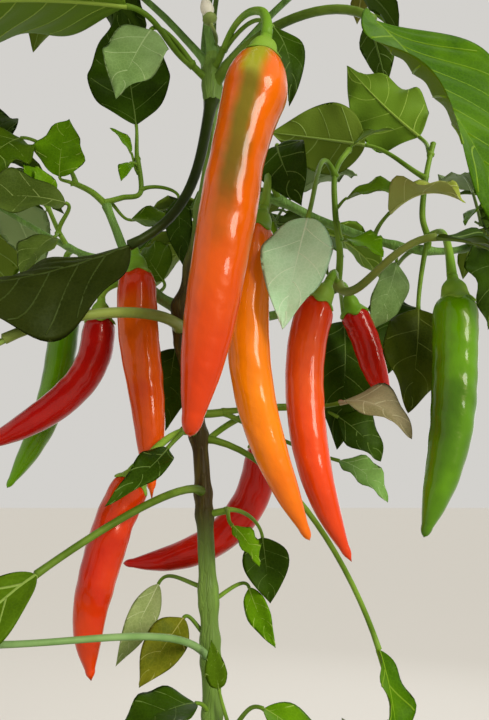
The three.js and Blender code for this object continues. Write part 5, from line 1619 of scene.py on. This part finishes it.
def build_crown():
    twigs, cups, fruits = Shape(), Shape(), Shape()
    for number, (name, mass) in enumerate(MASSES.items()):
        random = seeded(mass["seed"] + CROWN_SEED)
        grow_fine(mass, random)
        blades, materials = crown_leaves(mass, number, random, twigs)
        for twig in mass["twigs"]:
            path = arc_steps(twig["curve"], 8)
            twigs.add(tube(path, np.linspace(twig["foot"], twig["tip"], 9), 8))
        for k, fruit in enumerate(mass["fruits"]):
            style = fruit_style(mass["seed"] + k, 0.035, 0.014, 0.8)
            fruits.add(fruit_form(fruit, style, *CROWN_FLESH, (number + k) % len(CROWN_FRUITS)))
            cups.add(*calyx_forms(fruit, style, CROWN_CUP_SIDES))
        for flower in mass["flowers"]:
            add_flower(twigs, flower, random, 0)
        blades.made("leaves_" + name, materials, "foliage", name)
    twigs.made("twigs_crown", [plain_look("twig_green", (92, 118, 46), 0.5, 600, 0.0002)], "foliage")
    cups.made("calyxes_crown", [plain_look("calyx_crown", (104, 142, 48), 0.45, 700, 0.0002)], "foliage")
    skins = [fruit_skin("crown_skin_" + key, FRUIT_TONES[key][0]) for key in CROWN_FRUITS]
    fruits.made("fruits_crown", [skin.material for skin in skins], "red_fruit")


def build_limbs():
    feet = [row["through"][0] for name, row in LIMBS.items() if name != "main_stem"]
    joins = [twig["through"][0] for row in SPRAYS.values() for twig in row["twigs"]]
    joins += [leaf["at"] for row in SPRAYS.values() if not row["twigs"] for leaf in row["leaves"]]
    joins += [mass["at"] for mass in MASSES.values() if mass["at"]]
    stem, boughs = Shape(), Shape()
    for number, (name, row) in enumerate(LIMBS.items()):
        main = name == "main_stem"
        knots = [(point, 1.2 if main else 0.7, 6 if main else 4) for point in feet]
        knots += [(point, 0.75 if main else 0.45, 3.5) for point in joins]
        if not main:
            knots.append((row["through"][0], 0.8, 8))
        path = through_points(row["through"], 60)
        sides = STEM_SIDES if main else BOUGH_SIDES
        form = relief_limb(path, limb_girth(name, row, path), knots, BARK_SEED + number, sides)
        (stem if main else boughs).add(form)
    # (0.405, 0.53): the heights of the band of painted shadow that the fruits cast on the stem
    bark = stem_look("stem_skin", (104, 84, 50), (96, 124, 50), 0.19, 0.34, (0.405, 0.53))
    stem.made("stem_bark", [bark], "stem", "main_stem")
    bark = stem_look("bough_skin", (112, 100, 66), (98, 134, 60), 0.1, 0.2)
    boughs.made("boughs_bark", [bark], "bough", *(name for name in LIMBS if name != "main_stem"))


def build_pot():
    pot, soil, grains = Shape(), Shape(), Shape()
    pot.add(pot_form())
    pot.made("pot_clay", [clay_look()], "clay", "pot")
    soil.add(soil_form())
    crumbs(soil, *CRUMBS)
    soil.made("soil_surface", [compost_look()], "compost", "soil")
    crumbs(grains, *GRAINS)
    grains.made("soil_grains", [grain_look()], "compost")


# Stage


def add_light(name, data, at, way):
    light = placed(name, data)
    light.location = at
    light.rotation_euler = mathutils.Vector(way).to_track_quat("-Z", "Y").to_euler()


def add_floor():
    mesh = bpy.data.meshes.new("floor")
    far = FLOOR_REACH
    mesh.from_pydata([(-far, -far, 0), (far, -far, 0), (far, far, 0), (-far, far, 0)], [], [(0, 1, 2, 3)])
    floor = placed("floor", mesh)
    look = Look("floor_pale", (212, 209, 203), 0.8, Specular_IOR_Level=0.15)
    look.bump(look.noise(40, 3), 0.0006, 0.3)
    mesh.materials.append(look.material)


def add_lights():
    """Soft studio light: the world, one wide low key light and the area lights."""
    world = bpy.data.worlds.new("studio")
    bpy.context.scene.world = world
    world.use_nodes = True
    back = world.node_tree.nodes["Background"]
    back.inputs["Color"].default_value = WORLD_TINT
    back.inputs["Strength"].default_value = WORLD_STRENGTH
    key = bpy.data.lights.new("key", "SUN")
    key.energy = KEY_LIGHT["strength"]
    key.angle = KEY_LIGHT["wide"]
    key.color = KEY_LIGHT["tint"]
    add_light("key", key, (0.7, -0.8, 1.2), KEY_LIGHT["way"])
    for name, at, to, size, power, tint in LIGHTS:
        data = bpy.data.lights.new(name, "AREA")
        data.shape = "RECTANGLE"
        data.size, data.size_y = size
        data.energy = power
        data.color = tint
        add_light(name, data, at, np.array(to) - np.array(at))


def add_camera():
    """The camera where the photograph was taken."""
    data = bpy.data.cameras.new("camera")
    data.lens = LENS
    data.sensor_width = SENSOR
    data.clip_start = 0.01
    camera = placed("camera", data)
    camera.location = [v * MM for v in VIEW_FROM]
    camera.rotation_euler = (math.radians(90 + VIEW_RISE), 0, 0)
    bpy.context.scene.camera = camera
    bpy.context.scene.view_settings.view_transform = "Standard"


place_limbs()
place_sprays()
grow_masses()
build_limbs()
build_near()
build_crown()
blossom.made("blossom", [plain_look("petal", (236, 232, 214), 0.6, 500, 0.0002),
                         plain_look("anther", (126, 110, 128), 0.7, 900, 0.0002),
                         plain_look("pistil", (196, 200, 120), 0.5, 900, 0.0001)], "foliage")
build_pot()
add_floor()
add_lights()
add_camera()
